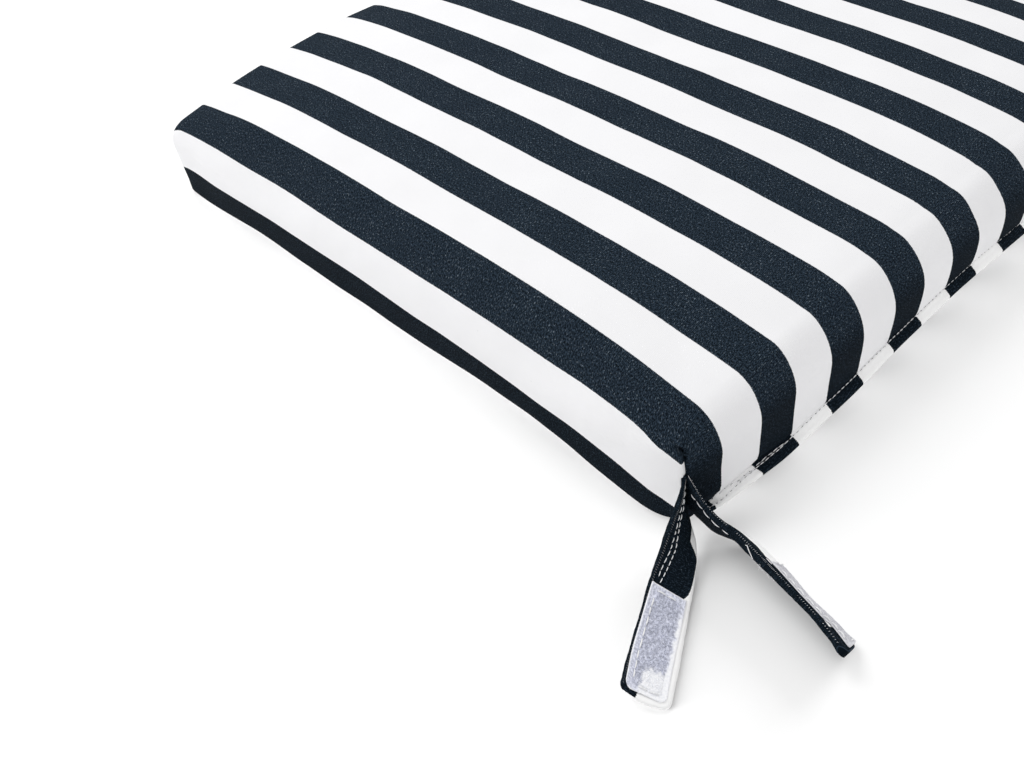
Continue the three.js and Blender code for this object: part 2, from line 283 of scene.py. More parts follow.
class CoverForm:
    """The filled cover's surface: a rounded box with a crown, bulging walls and drawn-in corners."""

    def __init__(self, sizes):
        self.sizes = sizes
        self.half_x = sizes.width / 2
        self.half_y = sizes.length / 2

    def turns(self, share_x, share_y, plan_y):
        """Heights at which a side wall and a hem wall turn under."""
        side_share = ease((TURN_STARTS - share_y) / TURN_STRETCH)
        hem_share = np.maximum(0, 1 - (share_x / TURN_STARTS) ** TURN_HEM_POWER)
        tied_end = ease((TURN_MORE_FROM - plan_y) / TURN_MORE_OVER)
        side = TURN_CORNER + (TURN_SIDE + TURN_MORE * tied_end - TURN_CORNER) * side_share
        hem = TURN_CORNER + (TURN_HEM - TURN_CORNER) * hem_share
        return side, hem

    def points(self, plan_x, plan_y, level):
        """Places in space of plan places on the flat cover and levels on its wall."""
        plan_x, plan_y, level = np.broadcast_arrays(plan_x, plan_y, level)
        half_x, half_y, edge = self.half_x, self.half_y, self.sizes.edge_height
        share_x = np.abs(plan_x) / half_x
        share_y = np.abs(plan_y) / half_y
        side_round = SIDE_ROUND_AT_CORNER + (SIDE_ROUND - SIDE_ROUND_AT_CORNER) * ease(
            (SIDE_ROUND_STARTS - share_y) / SIDE_ROUND_STRETCH)

        core_x = np.clip(plan_x, -half_x + SIDE_ROUND, half_x - SIDE_ROUND)
        core_y = np.clip(plan_y, -half_y + HEM_ROUND, half_y - HEM_ROUND)
        off_x = (plan_x - core_x) / SIDE_ROUND
        off_y = (plan_y - core_y) / HEM_ROUND
        off_z = np.where(level > 1, level - 1, np.minimum(level, 0))
        pow_x = np.abs(off_x) ** CORNER_SQUARENESS
        pow_y = np.abs(off_y) ** CORNER_SQUARENESS
        spread = pow_x + pow_y
        hem_share = np.divide(pow_y, spread, out=np.zeros_like(spread), where=spread > 0)
        reach = np.sqrt(spread ** (2 / CORNER_SQUARENESS) + off_z * off_z)
        reach = np.where(reach > 0, reach, 1)

        round_size = side_round + (HEM_ROUND - side_round) * hem_share
        turn_side, turn_hem = self.turns(share_x, share_y, plan_y)
        turn = turn_side + (turn_hem - turn_side) * hem_share
        wall = edge - round_size - turn
        x = core_x * (half_x - side_round) / (half_x - SIDE_ROUND) + off_x / reach * side_round
        y = core_y + off_y / reach * HEM_ROUND
        rolled_z = np.where(level > 1, off_z / reach * round_size, off_z / reach * turn)
        z = turn + wall * np.clip(level, 0, 1) + rolled_z

        swell_x = swell(x / half_x)
        swell_y = swell(y / half_y)
        sizes = self.sizes
        crown = (sizes.crown_along * swell_y + sizes.crown_across * swell_x
                 - CROWN_SHARED * swell_x * swell_y)
        height = np.clip(z / edge, 0, 1)
        lift = np.sqrt(np.clip(z / turn, 0, 1))
        bulge = np.where(y < 0, sizes.tied_bulge, sizes.far_bulge)
        along_out = bulge * swell_x * np.minimum(np.abs(y) / half_y, 1) * lift
        near_side = ease((np.abs(x) / half_x - 1) / SIDE_BULGE_SHARE + 1)
        below_top = 1 - ease((z - SIDE_BULGE_TOP) / SIDE_BULGE_FADE)
        across_out = sizes.side_bulge * swell_y * near_side * lift * below_top

        near_corner = (ease((np.abs(x) - half_x + CORNER_REACH) / CORNER_REACH)
                       * ease((np.abs(y) - half_y + CORNER_REACH) / CORNER_REACH))
        drawn_in = TIED_CORNER_IN * near_corner ** TIED_CORNER_POWER * (1 - ease((z - SEAM_TOP) / SEAM_FADE))
        corner_out = np.where(y > 0, FAR_CORNER_OUT * near_corner * height, -drawn_in)
        x = x + np.sign(x) * (across_out + corner_out)
        y = y + np.sign(y) * (along_out + corner_out)
        z = z + crown * height * height
        return np.stack([x, y, z], -1)


# Spacing of the cover's fine mesh and of the coarse one that is simulated: steps round the edges and up the
# walls, and sizes of the cells close to the edges and on the plain middle
FINE_MESH = dict(roll=19, wall=9, near=1.7 * MM, plain=4.8 * MM)
COARSE_MESH = dict(roll=5, wall=5, near=7.5 * MM, plain=7.5 * MM)
FINE_REACH = 45 * MM


def cover_lattice(form, mesh):
    """Plan places across and along the cover, and levels up its wall."""
    inner_x = form.half_x - SIDE_ROUND
    inner_y = form.half_y - HEM_ROUND
    roll = rolled(mesh["roll"])
    edge_x = inner_x + SIDE_ROUND * roll
    edge_y = inner_y + HEM_ROUND * roll

    def graded(inner):
        coarse = spaced(0, inner - FINE_REACH, mesh["plain"])[:-1]
        return np.concatenate([coarse, spaced(inner - FINE_REACH, inner, mesh["near"])])

    half = np.concatenate([graded(inner_x), edge_x])
    across = np.concatenate([-half[:0:-1], half])
    near = np.concatenate([graded(inner_y), edge_y])
    far = np.concatenate([spaced(0, inner_y, mesh["plain"]), edge_y])
    along = np.concatenate([-near[:0:-1], far])
    wall = np.linspace(0, 1, mesh["wall"] + 1)
    levels = np.concatenate([-roll[::-1], wall, 1 + roll])
    return across, along, levels


def cover_shell(form, across, along, levels):
    """Vertices of the closed cover, and the grid of their numbers."""
    ids = np.full((len(across), len(along), len(levels)), -1)
    outer = np.zeros(ids.shape, bool)
    outer[[0, -1]] = outer[:, [0, -1]] = outer[:, :, [0, -1]] = True
    ids[outer] = np.arange(outer.sum())
    i, j, k = np.nonzero(outer)
    return form.points(across[i], along[j], levels[k]), ids


def run_length(points, axis):
    """Length along a grid of points from its first row, along one axis."""
    steps = np.linalg.norm(np.diff(points, axis=axis), axis=-1)
    first = np.zeros_like(np.take(points[..., 0], [0], axis=axis))
    return np.cumsum(np.concatenate([first, steps], axis=axis), axis=axis)


# How the cloth's stripes shift where it is eased round the rolled side, gathered and tucked at a tied
# corner, laid over the corner seam and drawn out above the hem, and how far down a wall painted shade
# spreads
EASE_OUT = 1.6 * MM
EASE_POWER = 2
EASE_SPREAD = 13 * MM
SIDE_LINE = 230 * MM
TOP_LINE = 202.4 * MM
GATHER_LINE = 264 * MM
GATHER_SPREAD = 13 * MM
GATHER_NEAR = 9.5 * MM
GATHER_FAR = 4 * MM
GATHER_REACH = 95 * MM
TUCK_EASE = 2.1 * MM
TUCK_PLACE = 15 * MM
TUCK_SPREAD = 9 * MM
SEAM_OVER = 6.4 * MM
SEAM_OVER_LOW = 34.5 * MM
SEAM_OVER_TOP = 46 * MM
WALL_SHADE_OVER = 20 * MM
HEM_EASE = 2.8 * MM
HEM_EASE_FROM = 150 * MM
HEM_EASE_OVER = 40 * MM
HEM_EASE_HEIGHT = 10 * MM


def bump(value, centre, spread):
    """Bell curve of height 1."""
    return np.exp(-((value - centre) / spread) ** 2)


def cloth_across(run, y, half_y):
    """Place on the cloth across its stripes of a point at a run length from the cover's middle line."""
    middle = swell(y / half_y, EASE_POWER)
    out = EASE_OUT * middle * (bump(np.abs(run), SIDE_LINE, EASE_SPREAD)
                               - bump(np.abs(run), TOP_LINE, EASE_SPREAD))
    near = GATHER_NEAR * ease((-half_y + GATHER_REACH - y) / GATHER_REACH)
    far = GATHER_FAR * ease((y - half_y + GATHER_REACH) / (GATHER_REACH / 2))
    gather = (near + far) * bump(np.abs(run), GATHER_LINE, GATHER_SPREAD)
    tuck = TUCK_EASE * bump(y, TUCK_PLACE - half_y, TUCK_SPREAD) * bump(np.abs(run), SIDE_LINE, EASE_SPREAD)
    return run - np.sign(run) * (out + gather + tuck)


def hem_ease(wall, levels):
    """How far the stripes are drawn to the corners just above the hem, on a grid of the tied wall."""
    x, z = wall[..., 0], wall[..., 2]
    seam = z[:, np.searchsorted(levels, 0)][:, None]
    near = ease((np.abs(x) - HEM_EASE_FROM) / HEM_EASE_OVER)
    return -np.sign(x) * HEM_EASE * near * (1 - ease((z - seam) / HEM_EASE_HEIGHT))


def quads(ids, flip=False):
    """Four corner ids for each cell of a grid of ids."""
    a, b, c, d = ids[:-1, :-1], ids[1:, :-1], ids[1:, 1:], ids[:-1, 1:]
    corners = (a, d, c, b) if flip else (a, b, c, d)
    return np.stack([x.ravel() for x in corners], 1)


def quad_values(values, flip):
    """The values of a grid at the four corners of each of its cells."""
    shape = values.shape[:2]
    ids = quads(np.arange(shape[0] * shape[1]).reshape(shape), flip)
    return values.reshape(-1, values.shape[-1])[ids]


def skin(rings):
    """Vertices and faces of a closed tube over rings of points, its ends closed by cross strips."""
    count, around = rings.shape[:2]
    ids = np.arange(count * around).reshape(count, around)
    wrapped = np.concatenate([ids, ids[:, :1]], 1)
    faces = list(quads(wrapped))
    pairs = around // 2
    for ring, flip in ((ids[0], False), (ids[-1], True)):
        for i in range(pairs - 1):
            face = [ring[i], ring[i + 1], ring[around - 2 - i], ring[around - 1 - i]]
            faces.append(face[::-1] if flip else face)
    return rings.reshape(-1, 3), faces


def outward(vertices, faces):
    """The faces, turned round if they enclose a negative volume."""
    corners = np.array([[face[0], face[1], face[2], face[-1]] for face in faces])
    a, b, c, d = (vertices[corners[:, i]] for i in range(4))
    volume = sum(np.einsum("ij,ij->i", a, np.cross(p, q)).sum() for p, q in ((b, c), (c, d)))
    return [list(face)[::-1] for face in faces] if volume < 0 else faces


def corner_values(values, faces):
    """Values of the vertices at each corner of each face, in order."""
    return values[np.concatenate([np.asarray(face) for face in faces])]


def build_cover(form):
    """Vertices, faces and cloth coordinates of the fine cover mesh."""
    across, along, levels = cover_lattice(form, FINE_MESH)
    vertices, ids = cover_shell(form, across, along, levels)

    def grid(index):
        return vertices[ids[index]]

    middle_x, middle_y = np.searchsorted(across, 0), np.searchsorted(along, 0)
    top, base = grid(np.s_[:, :, -1]), grid(np.s_[:, :, 0])
    run_x = run_length(top, 0)
    run_x = run_x - run_x[middle_x:middle_x + 1]
    run_y = run_length(top, 1)
    run_y = run_y - run_y[:, middle_y:middle_y + 1]

    faces, cloth = [], []

    def add(index, laid, lengthwise, flip, down=0.0):
        # Painted shade: the dark stripes darken down a wall and on the underside, which leaves the top a
        # painted sheen
        painted_shading = -ease(down / WALL_SHADE_OVER)
        faces.append(quads(ids[index], flip))
        cloth.append(quad_values(np.stack([laid, lengthwise, painted_shading + 0 * laid], -1), flip))

    add(np.s_[:, :, -1], cloth_across(run_x, top[..., 1], form.half_y), run_y, False)
    seam_cloth = {}
    for side, flip in ((0, True), (-1, False)):
        sign = -1 if side == 0 else 1
        wall = grid(np.s_[side])
        down = run_length(wall[:, ::-1], 1)[:, ::-1]
        laid = cloth_across(run_x[side][:, None] + sign * down, wall[..., 1], form.half_y)
        seam_cloth[sign] = laid[0]
        add(np.s_[side], laid, run_y[side][:, None] + 0 * down, flip, down)
    for end, flip in ((0, False), (-1, True)):
        sign = -1 if end == 0 else 1
        wall = grid(np.s_[:, end])
        down = run_length(wall[:, ::-1], 1)[:, ::-1]
        drawn = hem_ease(wall, levels) if end == 0 else 0
        laid = cloth_across(run_x[:, end][:, None] + drawn + 0 * down, wall[..., 1], form.half_y)
        level = (wall[..., 2] > SEAM_OVER_LOW) & (wall[..., 2] < SEAM_OVER_TOP) & (end == 0)
        for side in SIDES.values():
            beyond = side * wall[..., 0] > form.half_x - SEAM_OVER
            laid = np.where(level & beyond, seam_cloth[side][None], laid)
        add(np.s_[:, end], laid, run_y[:, end][:, None] + sign * down, flip, down)
    side_run = run_x[0] - run_length(grid(np.s_[0])[:, ::-1], 1)[:, -1]
    under_run = side_run[None] - run_length(base, 0)
    add(np.s_[:, :, 0], cloth_across(under_run, base[..., 1], form.half_y), run_y, True, WALL_SHADE_OVER)
    return vertices, np.concatenate(faces), np.concatenate(cloth)


def new_object(name, vertices, faces, cloth=None):
    """A smooth mesh object; cloth holds a vector for each corner of each face."""
    mesh = bpy.data.meshes.new(name)
    mesh.from_pydata(np.asarray(vertices).tolist(), [], [list(map(int, face)) for face in faces])
    if cloth is not None:
        layer = mesh.attributes.new("cloth", "FLOAT_VECTOR", "CORNER")
        layer.data.foreach_set("vector", np.asarray(cloth, np.float32).ravel())
    mesh.polygons.foreach_set("use_smooth", np.ones(len(mesh.polygons), bool))
    mesh.update()
    made = bpy.data.objects.new(name, mesh)
    bpy.context.scene.collection.objects.link(made)
    return made


def tube_object(name, rings, values):
    """A closed tube over rings of points as a mesh object, with a cloth vector for each point."""
    vertices, faces = skin(rings)
    faces = outward(vertices, faces)
    return new_object(name, vertices, faces, corner_values(values.reshape(-1, 3), faces))


def vertex_normals(mesh):
    """Normals of a mesh's vertices as an array."""
    normals = np.zeros(len(mesh.vertices) * 3, np.float32)
    mesh.vertex_normals.foreach_get("vector", normals)
    return normals.reshape(-1, 3).astype(float)


def vertex_places(mesh):
    """Places of a mesh's vertices as an array."""
    places = np.zeros(len(mesh.vertices) * 3, np.float32)
    mesh.vertices.foreach_get("co", places)
    return places.reshape(-1, 3).astype(float)


def set_places(mesh, places):
    """Writes places back to a mesh's vertices."""
    mesh.vertices.foreach_set("co", np.asarray(places, np.float32).ravel())
    mesh.update()


# Short cloth simulation of the coarse cover, blown up by the pressure of its filling, and how its shifts
# are capped, blurred and faded out low on the walls and at the tied corners
FILLING_PRESSURE = 0.35
FILLING_FRAMES = 20
CLOTH_STIFFNESS = 40
CLOTH_SHEAR = 5
CLOTH_BENDING = 0.5
CLOTH_QUALITY = 5
HELD_BELOW = 0.5 * MM
SHIFT_CAP = 1.2 * MM
SHIFT_NEAREST = 8
SHIFT_BLUR = 8 * MM
SHIFT_FROM = 22 * MM
SHIFT_OVER = 20 * MM
SHIFT_OFF_CORNER = 12 * MM
SHIFT_CORNER_OVER = 40 * MM


def simulate_filling(form, scene):
    """Places of the coarse cover, and how far the simulation shifts them."""
    places, ids = cover_shell(form, *cover_lattice(form, COARSE_MESH))
    faces = np.concatenate([quads(ids[:, :, -1]), quads(ids[0], True), quads(ids[-1]), quads(ids[:, 0]),
                            quads(ids[:, -1], True), quads(ids[:, :, 0], True)])
    shell = new_object("filled_shell", places, outward(places, [list(face) for face in faces]))
    held = shell.vertex_groups.new(name="held")
    held.add(np.nonzero(places[:, 2] < HELD_BELOW)[0].tolist(), 1.0, "REPLACE")
    modifier = shell.modifiers.new("filling", "CLOTH")
    modifier.collision_settings.use_collision = False
    cloth = modifier.settings
    cloth.vertex_group_mass = held.name
    cloth.quality = CLOTH_QUALITY
    cloth.tension_stiffness = CLOTH_STIFFNESS
    cloth.compression_stiffness = CLOTH_STIFFNESS
    cloth.shear_stiffness = CLOTH_SHEAR
    cloth.bending_stiffness = CLOTH_BENDING
    cloth.use_pressure = True
    cloth.uniform_pressure_force = FILLING_PRESSURE
    cloth.effector_weights.gravity = 0
    for number in range(1, FILLING_FRAMES + 1):
        scene.frame_set(number)
    filled = shell.evaluated_get(bpy.context.evaluated_depsgraph_get())
    shifts = vertex_places(filled.to_mesh()) - places
    filled.to_mesh_clear()
    scene.frame_set(1)
    bpy.data.meshes.remove(shell.data)
    length = np.maximum(np.linalg.norm(shifts, axis=1), TINY)
    return places, shifts * np.minimum(1, SHIFT_CAP / length)[:, None]


def fill_cover(mesh, form, starts, shifts):
    """Applies the simulated shifts to the fine cover, fading them out at the tied corners and the floor."""
    tree = KDTree(len(starts))
    for number, start in enumerate(starts):
        tree.insert(start, number)
    tree.balance()
    places = vertex_places(mesh)
    found = [tree.find_n(place, SHIFT_NEAREST) for place in places]
    near = np.array([[number for _, number, _ in row] for row in found])
    away = np.array([[distance for _, _, distance in row] for row in found])
    weights = np.exp(-(away / SHIFT_BLUR) ** 2)
    weights = weights / weights.sum(1, keepdims=True)
    moved = (shifts[near] * weights[..., None]).sum(1)
    high = ease((places[:, 2] - SHIFT_FROM) / SHIFT_OVER)
    off_corner = np.hypot(form.half_x - np.abs(places[:, 0]), form.half_y + places[:, 1])
    share = high * ease((off_corner - SHIFT_OFF_CORNER) / SHIFT_CORNER_OVER)
    set_places(mesh, places + moved * share[:, None])


NOISE_WAVES = 9
NOISE_STRETCH = (0.7, 1.4)
NOISE_HEIGHT = 0.5


def soft_noise(places, wavelength, seed):
    """Smooth noise of about unit height, from a few sine waves in random directions."""
    rng = random.Random(seed)
    total = np.zeros(len(places))
    for _ in range(NOISE_WAVES):
        direction = unit(stray(rng, 1))
        stretch = rng.uniform(*NOISE_STRETCH) * wavelength
        total += np.sin(2 * math.pi * (places @ direction) / stretch + rng.uniform(0, 2 * math.pi))
    return total / math.sqrt(NOISE_WAVES / 2) * NOISE_HEIGHT


# Dents and soft folds of the cover near a tied corner, in millimetres from the cushion's own corner point:
# each follows a line between two places, with its half width and its depth (negative for a ridge)
CORNER_FOLDS = [
    dict(start=(6.6, 3.1, 6), end=(6.7, 3.8, 45), spread=0.9, depth=1.5),
    dict(start=(6.7, 3.8, 45), end=(7.0, 5.1, 49.2), spread=1.0, depth=2.7),
    dict(start=(7.0, 5.1, 49.2), end=(6.4, 6.6, 50.3), spread=1.0, depth=3.0),
    dict(start=(6.4, 6.6, 50.3), end=(5.0, 8.6, 50.2), spread=1.1, depth=1.9),
    dict(start=(5.4, 6.0, 47.6), end=(4.9, 7.2, 48.0), spread=1.7, depth=-1.6),
    dict(start=(8.0, 6.4, 50.6), end=(6.4, 8.8, 51.6), spread=1.0, depth=-0.5),
    dict(start=(4.8, 4.9, 12), end=(5.0, 5.2, 45), spread=1.4, depth=-0.5),
    dict(start=(8.6, 2.4, 32), end=(8.6, 4.4, 49), spread=1.3, depth=-0.8),
    dict(start=(8.5, 7.5, 52), end=(11, 11.5, 55), spread=2.4, depth=-0.5),
    dict(start=(1.5, 26, 46), end=(7, 48, 58), spread=8, depth=-0.4),
    dict(start=(16, 1.5, 22), end=(34, -2, 34), spread=6, depth=0.6),
    dict(start=(20, 4, 54), end=(50, 2, 58), spread=6, depth=-0.4),
]

# The tuck behind the hem: its depth and half width, also near the corners, how far back it goes, where it
# ends short of a corner, how much it climbs there and the points of its seam. The cloth gets its waves over
# a height above the floor, and no fold goes lower than a small one
HEM_TUCK = 0.5 * MM
HEM_TUCK_SPREAD = 2.2 * MM
HEM_TUCK_AT_CORNER = 3.2 * MM
HEM_TUCK_CORNER_SPREAD = 3.2 * MM
HEM_TUCK_BEHIND = 14 * MM
HEM_TUCK_END = 6 * MM
HEM_TUCK_END_OVER = 12 * MM
HEM_TUCK_RISE = 0.3
SEAM_POINTS = 200
LOOSE_OVER = 12 * MM
FOLDS_ABOVE = 0.05 * MM

# Soft unevenness of the filled cover, in millimetres
SURFACE_WAVES = [dict(wavelength=95, height=0.55, seed=3), dict(wavelength=38, height=0.2, seed=5)]


def line_distance(places, start, end):
    """Distance of places from a line between two places."""
    start, end = np.array(start), np.array(end)
    run = end - start
    share = np.clip((places - start) @ run / (run @ run), 0, 1)
    return np.linalg.norm(places - start - share[:, None] * run, axis=1)


def fold_cover(mesh, form):
    """Presses the seams' folds and the filling's soft waves into the cover."""
    places, normals = vertex_places(mesh), vertex_normals(mesh)
    inward = np.zeros(len(places))
    for side in SIDES.values():
        corner = np.array([-side * form.half_x, -form.half_y, 0])
        local = (places - corner) * np.array([side, 1, 1]) / MM
        for fold in CORNER_FOLDS:
            distance = line_distance(local, fold["start"], fold["end"])
            inward += fold["depth"] * MM * bump(distance, 0, fold["spread"])
    seam = form.points(np.linspace(-form.half_x, form.half_x, SEAM_POINTS), -form.half_y, 0.0)
    seam_z = np.interp(places[:, 0], seam[:, 0], seam[:, 2])
    at_hem = ease((-form.half_y + HEM_TUCK_BEHIND - places[:, 1]) / (HEM_TUCK_BEHIND / 2))
    near = ease((np.abs(places[:, 0]) - HEM_EASE_FROM) / HEM_EASE_OVER)
    near = near * ease((form.half_x - HEM_TUCK_END - np.abs(places[:, 0])) / HEM_TUCK_END_OVER)
    spread = HEM_TUCK_SPREAD + (HEM_TUCK_CORNER_SPREAD - HEM_TUCK_SPREAD) * near
    depth = HEM_TUCK + (HEM_TUCK_AT_CORNER - HEM_TUCK) * near
    inward += depth * bump(places[:, 2], seam_z + HEM_TUCK_RISE * spread * near, spread) * at_hem
    loose = ease(places[:, 2] / LOOSE_OVER)
    for wave in SURFACE_WAVES:
        noise = soft_noise(places / MM, wave["wavelength"], wave["seed"])
        inward += loose * wave["height"] * MM * noise
    moved = places - normals * inward[:, None]
    moved[:, 2] = np.where(places[:, 2] <= 0, places[:, 2], np.maximum(moved[:, 2], FOLDS_ABOVE))
    set_places(mesh, moved)


# Numbers of the Mix node's sockets for colours: the two that it mixes, and the result
MIX_FIRST, MIX_SECOND, MIX_RESULT = 6, 7, 2
NOISE_MEAN = 0.5


def rgba(colour):
    """A colour with its opacity."""
    return (*colour, 1.0)


class Net:
    """Short ways to add and join the nodes of one material."""

    def __init__(self, material):
        material.use_nodes = True
        self.tree = material.node_tree
        self.shader = self.tree.nodes["Principled BSDF"]

    def add(self, kind, **values):
        node = self.tree.nodes.new(kind)
        for name, value in values.items():
            setattr(node, name, value)
        return node

    def join(self, source, socket):
        """Links a node's output, or sets a plain value."""
        if isinstance(source, bpy.types.NodeSocket):
            self.tree.links.new(source, socket)
        else:
            socket.default_value = source

    def math(self, operation, *inputs):
        node = self.add("ShaderNodeMath", operation=operation)
        for value, socket in zip(inputs, node.inputs):
            self.join(value, socket)
        return node.outputs[0]

    def plus(self, first, second):
        return self.math("ADD", first, second)

    def minus(self, first, second):
        return self.math("SUBTRACT", first, second)

    def times(self, first, second):
        return self.math("MULTIPLY", first, second)

    def mix(self, share, first, second):
        """Blend of two colours, each from a node or given as red, green and blue."""
        node = self.add("ShaderNodeMix", data_type="RGBA")
        self.join(share, node.inputs["Factor"])
        for colour, number in ((first, MIX_FIRST), (second, MIX_SECOND)):
            from_node = isinstance(colour, bpy.types.NodeSocket)
            self.join(colour if from_node else rgba(colour), node.inputs[number])
        return node.outputs[MIX_RESULT]

    def step(self, value, low, high):
        """Smooth step of a value between two limits."""
        node = self.add("ShaderNodeMapRange", interpolation_type="SMOOTHSTEP")
        for source, name in ((value, "Value"), (low, "From Min"), (high, "From Max")):
            self.join(source, node.inputs[name])
        return node.outputs[0]

    def vector(self, x, y):
        node = self.add("ShaderNodeCombineXYZ")
        for value, socket in zip((x, y), node.inputs):
            self.join(value, socket)
        return node.outputs[0]

    def noise(self, vector, scale, detail=2.0, roughness=0.5):
        """Noise with about as many humps in a metre as its scale."""
        node = self.add("ShaderNodeTexNoise")
        self.join(vector, node.inputs["Vector"])
        node.inputs["Scale"].default_value = scale
        node.inputs["Detail"].default_value = detail
        node.inputs["Roughness"].default_value = roughness
        return node.outputs["Fac"]

    def patches(self, vector, scale, low, high, detail=2.0):
        """Noise turned into soft patches by a smooth step between two limits."""
        return self.step(self.noise(vector, scale, detail), low, high)

    def object_place(self):
        """Places in the object's own coordinates."""
        return self.add("ShaderNodeTexCoord").outputs["Object"]

    def attribute(self, name):
        """The three parts of a mesh attribute."""
        node = self.add("ShaderNodeAttribute", attribute_name=name)
        split = self.add("ShaderNodeSeparateXYZ")
        self.join(node.outputs["Vector"], split.inputs[0])
        return split.outputs

    def paint(self, colour):
        """Gives the shader its base colour."""
        self.join(colour, self.shader.inputs["Base Color"])

    def raise_by(self, height, distance, strength):
        """Bump of the shader's normal."""
        node = self.add("ShaderNodeBump")
        node.inputs["Distance"].default_value = distance
        node.inputs["Strength"].default_value = strength
        self.join(height, node.inputs["Height"])
        self.join(node.outputs[0], self.shader.inputs["Normal"])


def new_material(name, roughness, specular):
    """A material with a plain finish, and the net of its nodes."""
    material = bpy.data.materials.new(name)
    net = Net(material)
    net.shader.inputs["Roughness"].default_value = roughness
    net.shader.inputs["Specular IOR Level"].default_value = specular
    return material, net


# The canvas: its ribs and the edges of its stripes
RIB_LEAN = 0.11
STRIPE_TOOTH = 0.1 * MM
STRIPE_RAGGED = 0.5 * MM
STRIPE_RAGGED_SCALE = 800
STRIPE_SOFT = 0.12 * MM

# Its dark yarn: the mottling, the patches in which ribs and flecks show, and the painted shade that
# darkens it and hides them away from the top, which leaves the top a painted sheen
MOTTLE = dict(scale=1150, detail=2.0, roughness=0.7)
MOTTLE_ACROSS, MOTTLE_ALONG = 0.8, 1.5
DARK_TONES = dict(low=0.41, high=0.66)
DARK_PATCHES = dict(scale=36, low=0.35, high=0.65)
PATCH_RIBS = 0.06
PATCH_FLECKS = 0.03
PAINTED_SHADE = -0.09
FLECKS = dict(scale=1250, detail=1.0)
FLECK_ACROSS = 0.7
FLECK_TONES = dict(low=0.64, high=0.76)
FLECK_STRENGTH = 0.85

# Its white yarn, and the painted light, a touch warm, that brightens it on the hem flange and the ties,
# which lie in shade
WORN_PATCHES = dict(scale=22, low=0.3, high=0.75, detail=3.0)
WORN_SHADE = 0.97
SLUBS = dict(scale=420, low=0.79, high=0.83, detail=1.0)
SLUB_STRENGTH = 0.25
SLUB_GREY = (0.45, 0.46, 0.48)
PAINTED_LIT_WHITE = (0.975, 0.974, 0.97)

# Its relief
CANVAS_RIBS = 0.4
CANVAS_RELIEF = dict(distance=0.1 * MM, strength=0.45)


def canvas_material(look):
    """Twill canvas, its stripes laid by the cloth's own coordinates."""
    material, net = new_material("stripe_twill", roughness=0.92, specular=0.06)
    across, along, painted_shading = net.attribute("cloth")
    place = net.vector(across, along)

    # Fine ribs run across the stripes, and the stripes' edges step along with them
    ribs = net.minus(net.times(across, RIB_LEAN), along)
    wave = net.math("SINE", net.times(ribs, 2 * math.pi / look.twill_pitch))
    ragged = net.times(net.minus(net.noise(place, STRIPE_RAGGED_SCALE), NOISE_MEAN), STRIPE_RAGGED)
    shifted = net.plus(across, net.plus(ragged, net.times(wave, STRIPE_TOOTH)))
    share = net.math("FRACT", net.math("DIVIDE", net.minus(shifted, look.dark_start), look.period))
    soft = STRIPE_SOFT / look.period
    edge = look.dark_width / look.period
    rises = net.step(share, 0.0, 2 * soft)
    falls = net.minus(1.0, net.step(share, edge - soft, edge + soft))
    dark = net.times(rises, falls)

    # Dark yarn: close mottling, with ribs and pale flecks that show in patches; painted shade darkens it on
    # the walls, flange and ties, which leaves a painted sheen on the top
    stretched = net.vector(net.times(across, MOTTLE_ACROSS), net.times(ribs, MOTTLE_ALONG))
    mottle = net.noise(stretched, **MOTTLE)
    patches = net.patches(place, **DARK_PATCHES)
    ribbed = net.times(wave, net.times(patches, PATCH_RIBS))
    # Painted shade, as strong as the painted shading stored with the cloth
    painted_shade = net.times(net.math("ABSOLUTE", painted_shading), PAINTED_SHADE)
    tone = net.step(net.plus(mottle, net.plus(ribbed, painted_shade)), **DARK_TONES)
    navy = net.mix(tone, look.dark, look.mottle_and_sheen)
    fleck = net.noise(net.vector(net.times(across, FLECK_ACROSS), ribs), **FLECKS)
    fleck = net.plus(fleck, net.plus(net.times(patches, PATCH_FLECKS), painted_shade))
    navy = net.mix(net.times(net.step(fleck, **FLECK_TONES), FLECK_STRENGTH), navy, look.fleck)

    # White yarn: even, with a few small grey slubs, and brightened with painted light on the hem and the
    # ties
    worn = net.patches(place, **WORN_PATCHES)
    shade = tuple(WORN_SHADE * part for part in look.white)
    white = net.mix(worn, shade, look.white)
    white = net.mix(net.times(net.patches(place, **SLUBS), SLUB_STRENGTH), white, SLUB_GREY)
    white = net.mix(net.math("MAXIMUM", painted_shading, 0.0), white, PAINTED_LIT_WHITE)
    net.paint(net.mix(dark, white, navy))
    net.raise_by(net.plus(net.times(wave, CANVAS_RIBS), mottle), **CANVAS_RELIEF)
    return material


# Tones of the threads and tapes, each from its first colour to its second
THREAD_TONES = dict(scale=900, low=0.3, high=0.7)
THREAD_COLOURS = (0.78, 0.785, 0.8), (0.95, 0.95, 0.96)
THREAD_RELIEF_SCALE = 2600
THREAD_RELIEF = dict(distance=0.06 * MM, strength=0.5)
# Grey thread, also used for the painted shadows at the ends of hem stitches
GREY_TONES = dict(scale=700, low=0.3, high=0.7, detail=1.0)
GREY_COLOURS = (0.12, 0.12, 0.125), (0.3, 0.3, 0.31)
PILE_CURLS = dict(scale=950, detail=2.0, roughness=0.6)
PILE_TONES = dict(low=0.33, high=0.66)
PILE_COLOURS = (0.46, 0.475, 0.56), (0.8, 0.82, 0.93)
PRESSED_COLOURS = (0.86, 0.87, 0.91), (0.97, 0.97, 0.99)
PILE_RELIEF = dict(distance=0.25 * MM, strength=0.6)
HOOK_TONES = dict(scale=700, low=0.35, high=0.7)
HOOK_COLOURS = (0.64, 0.64, 0.68), (0.8, 0.8, 0.83)
HOOK_RIB_PITCH = 0.8 * MM
HOOK_RELIEF = dict(distance=0.08 * MM, strength=0.5)


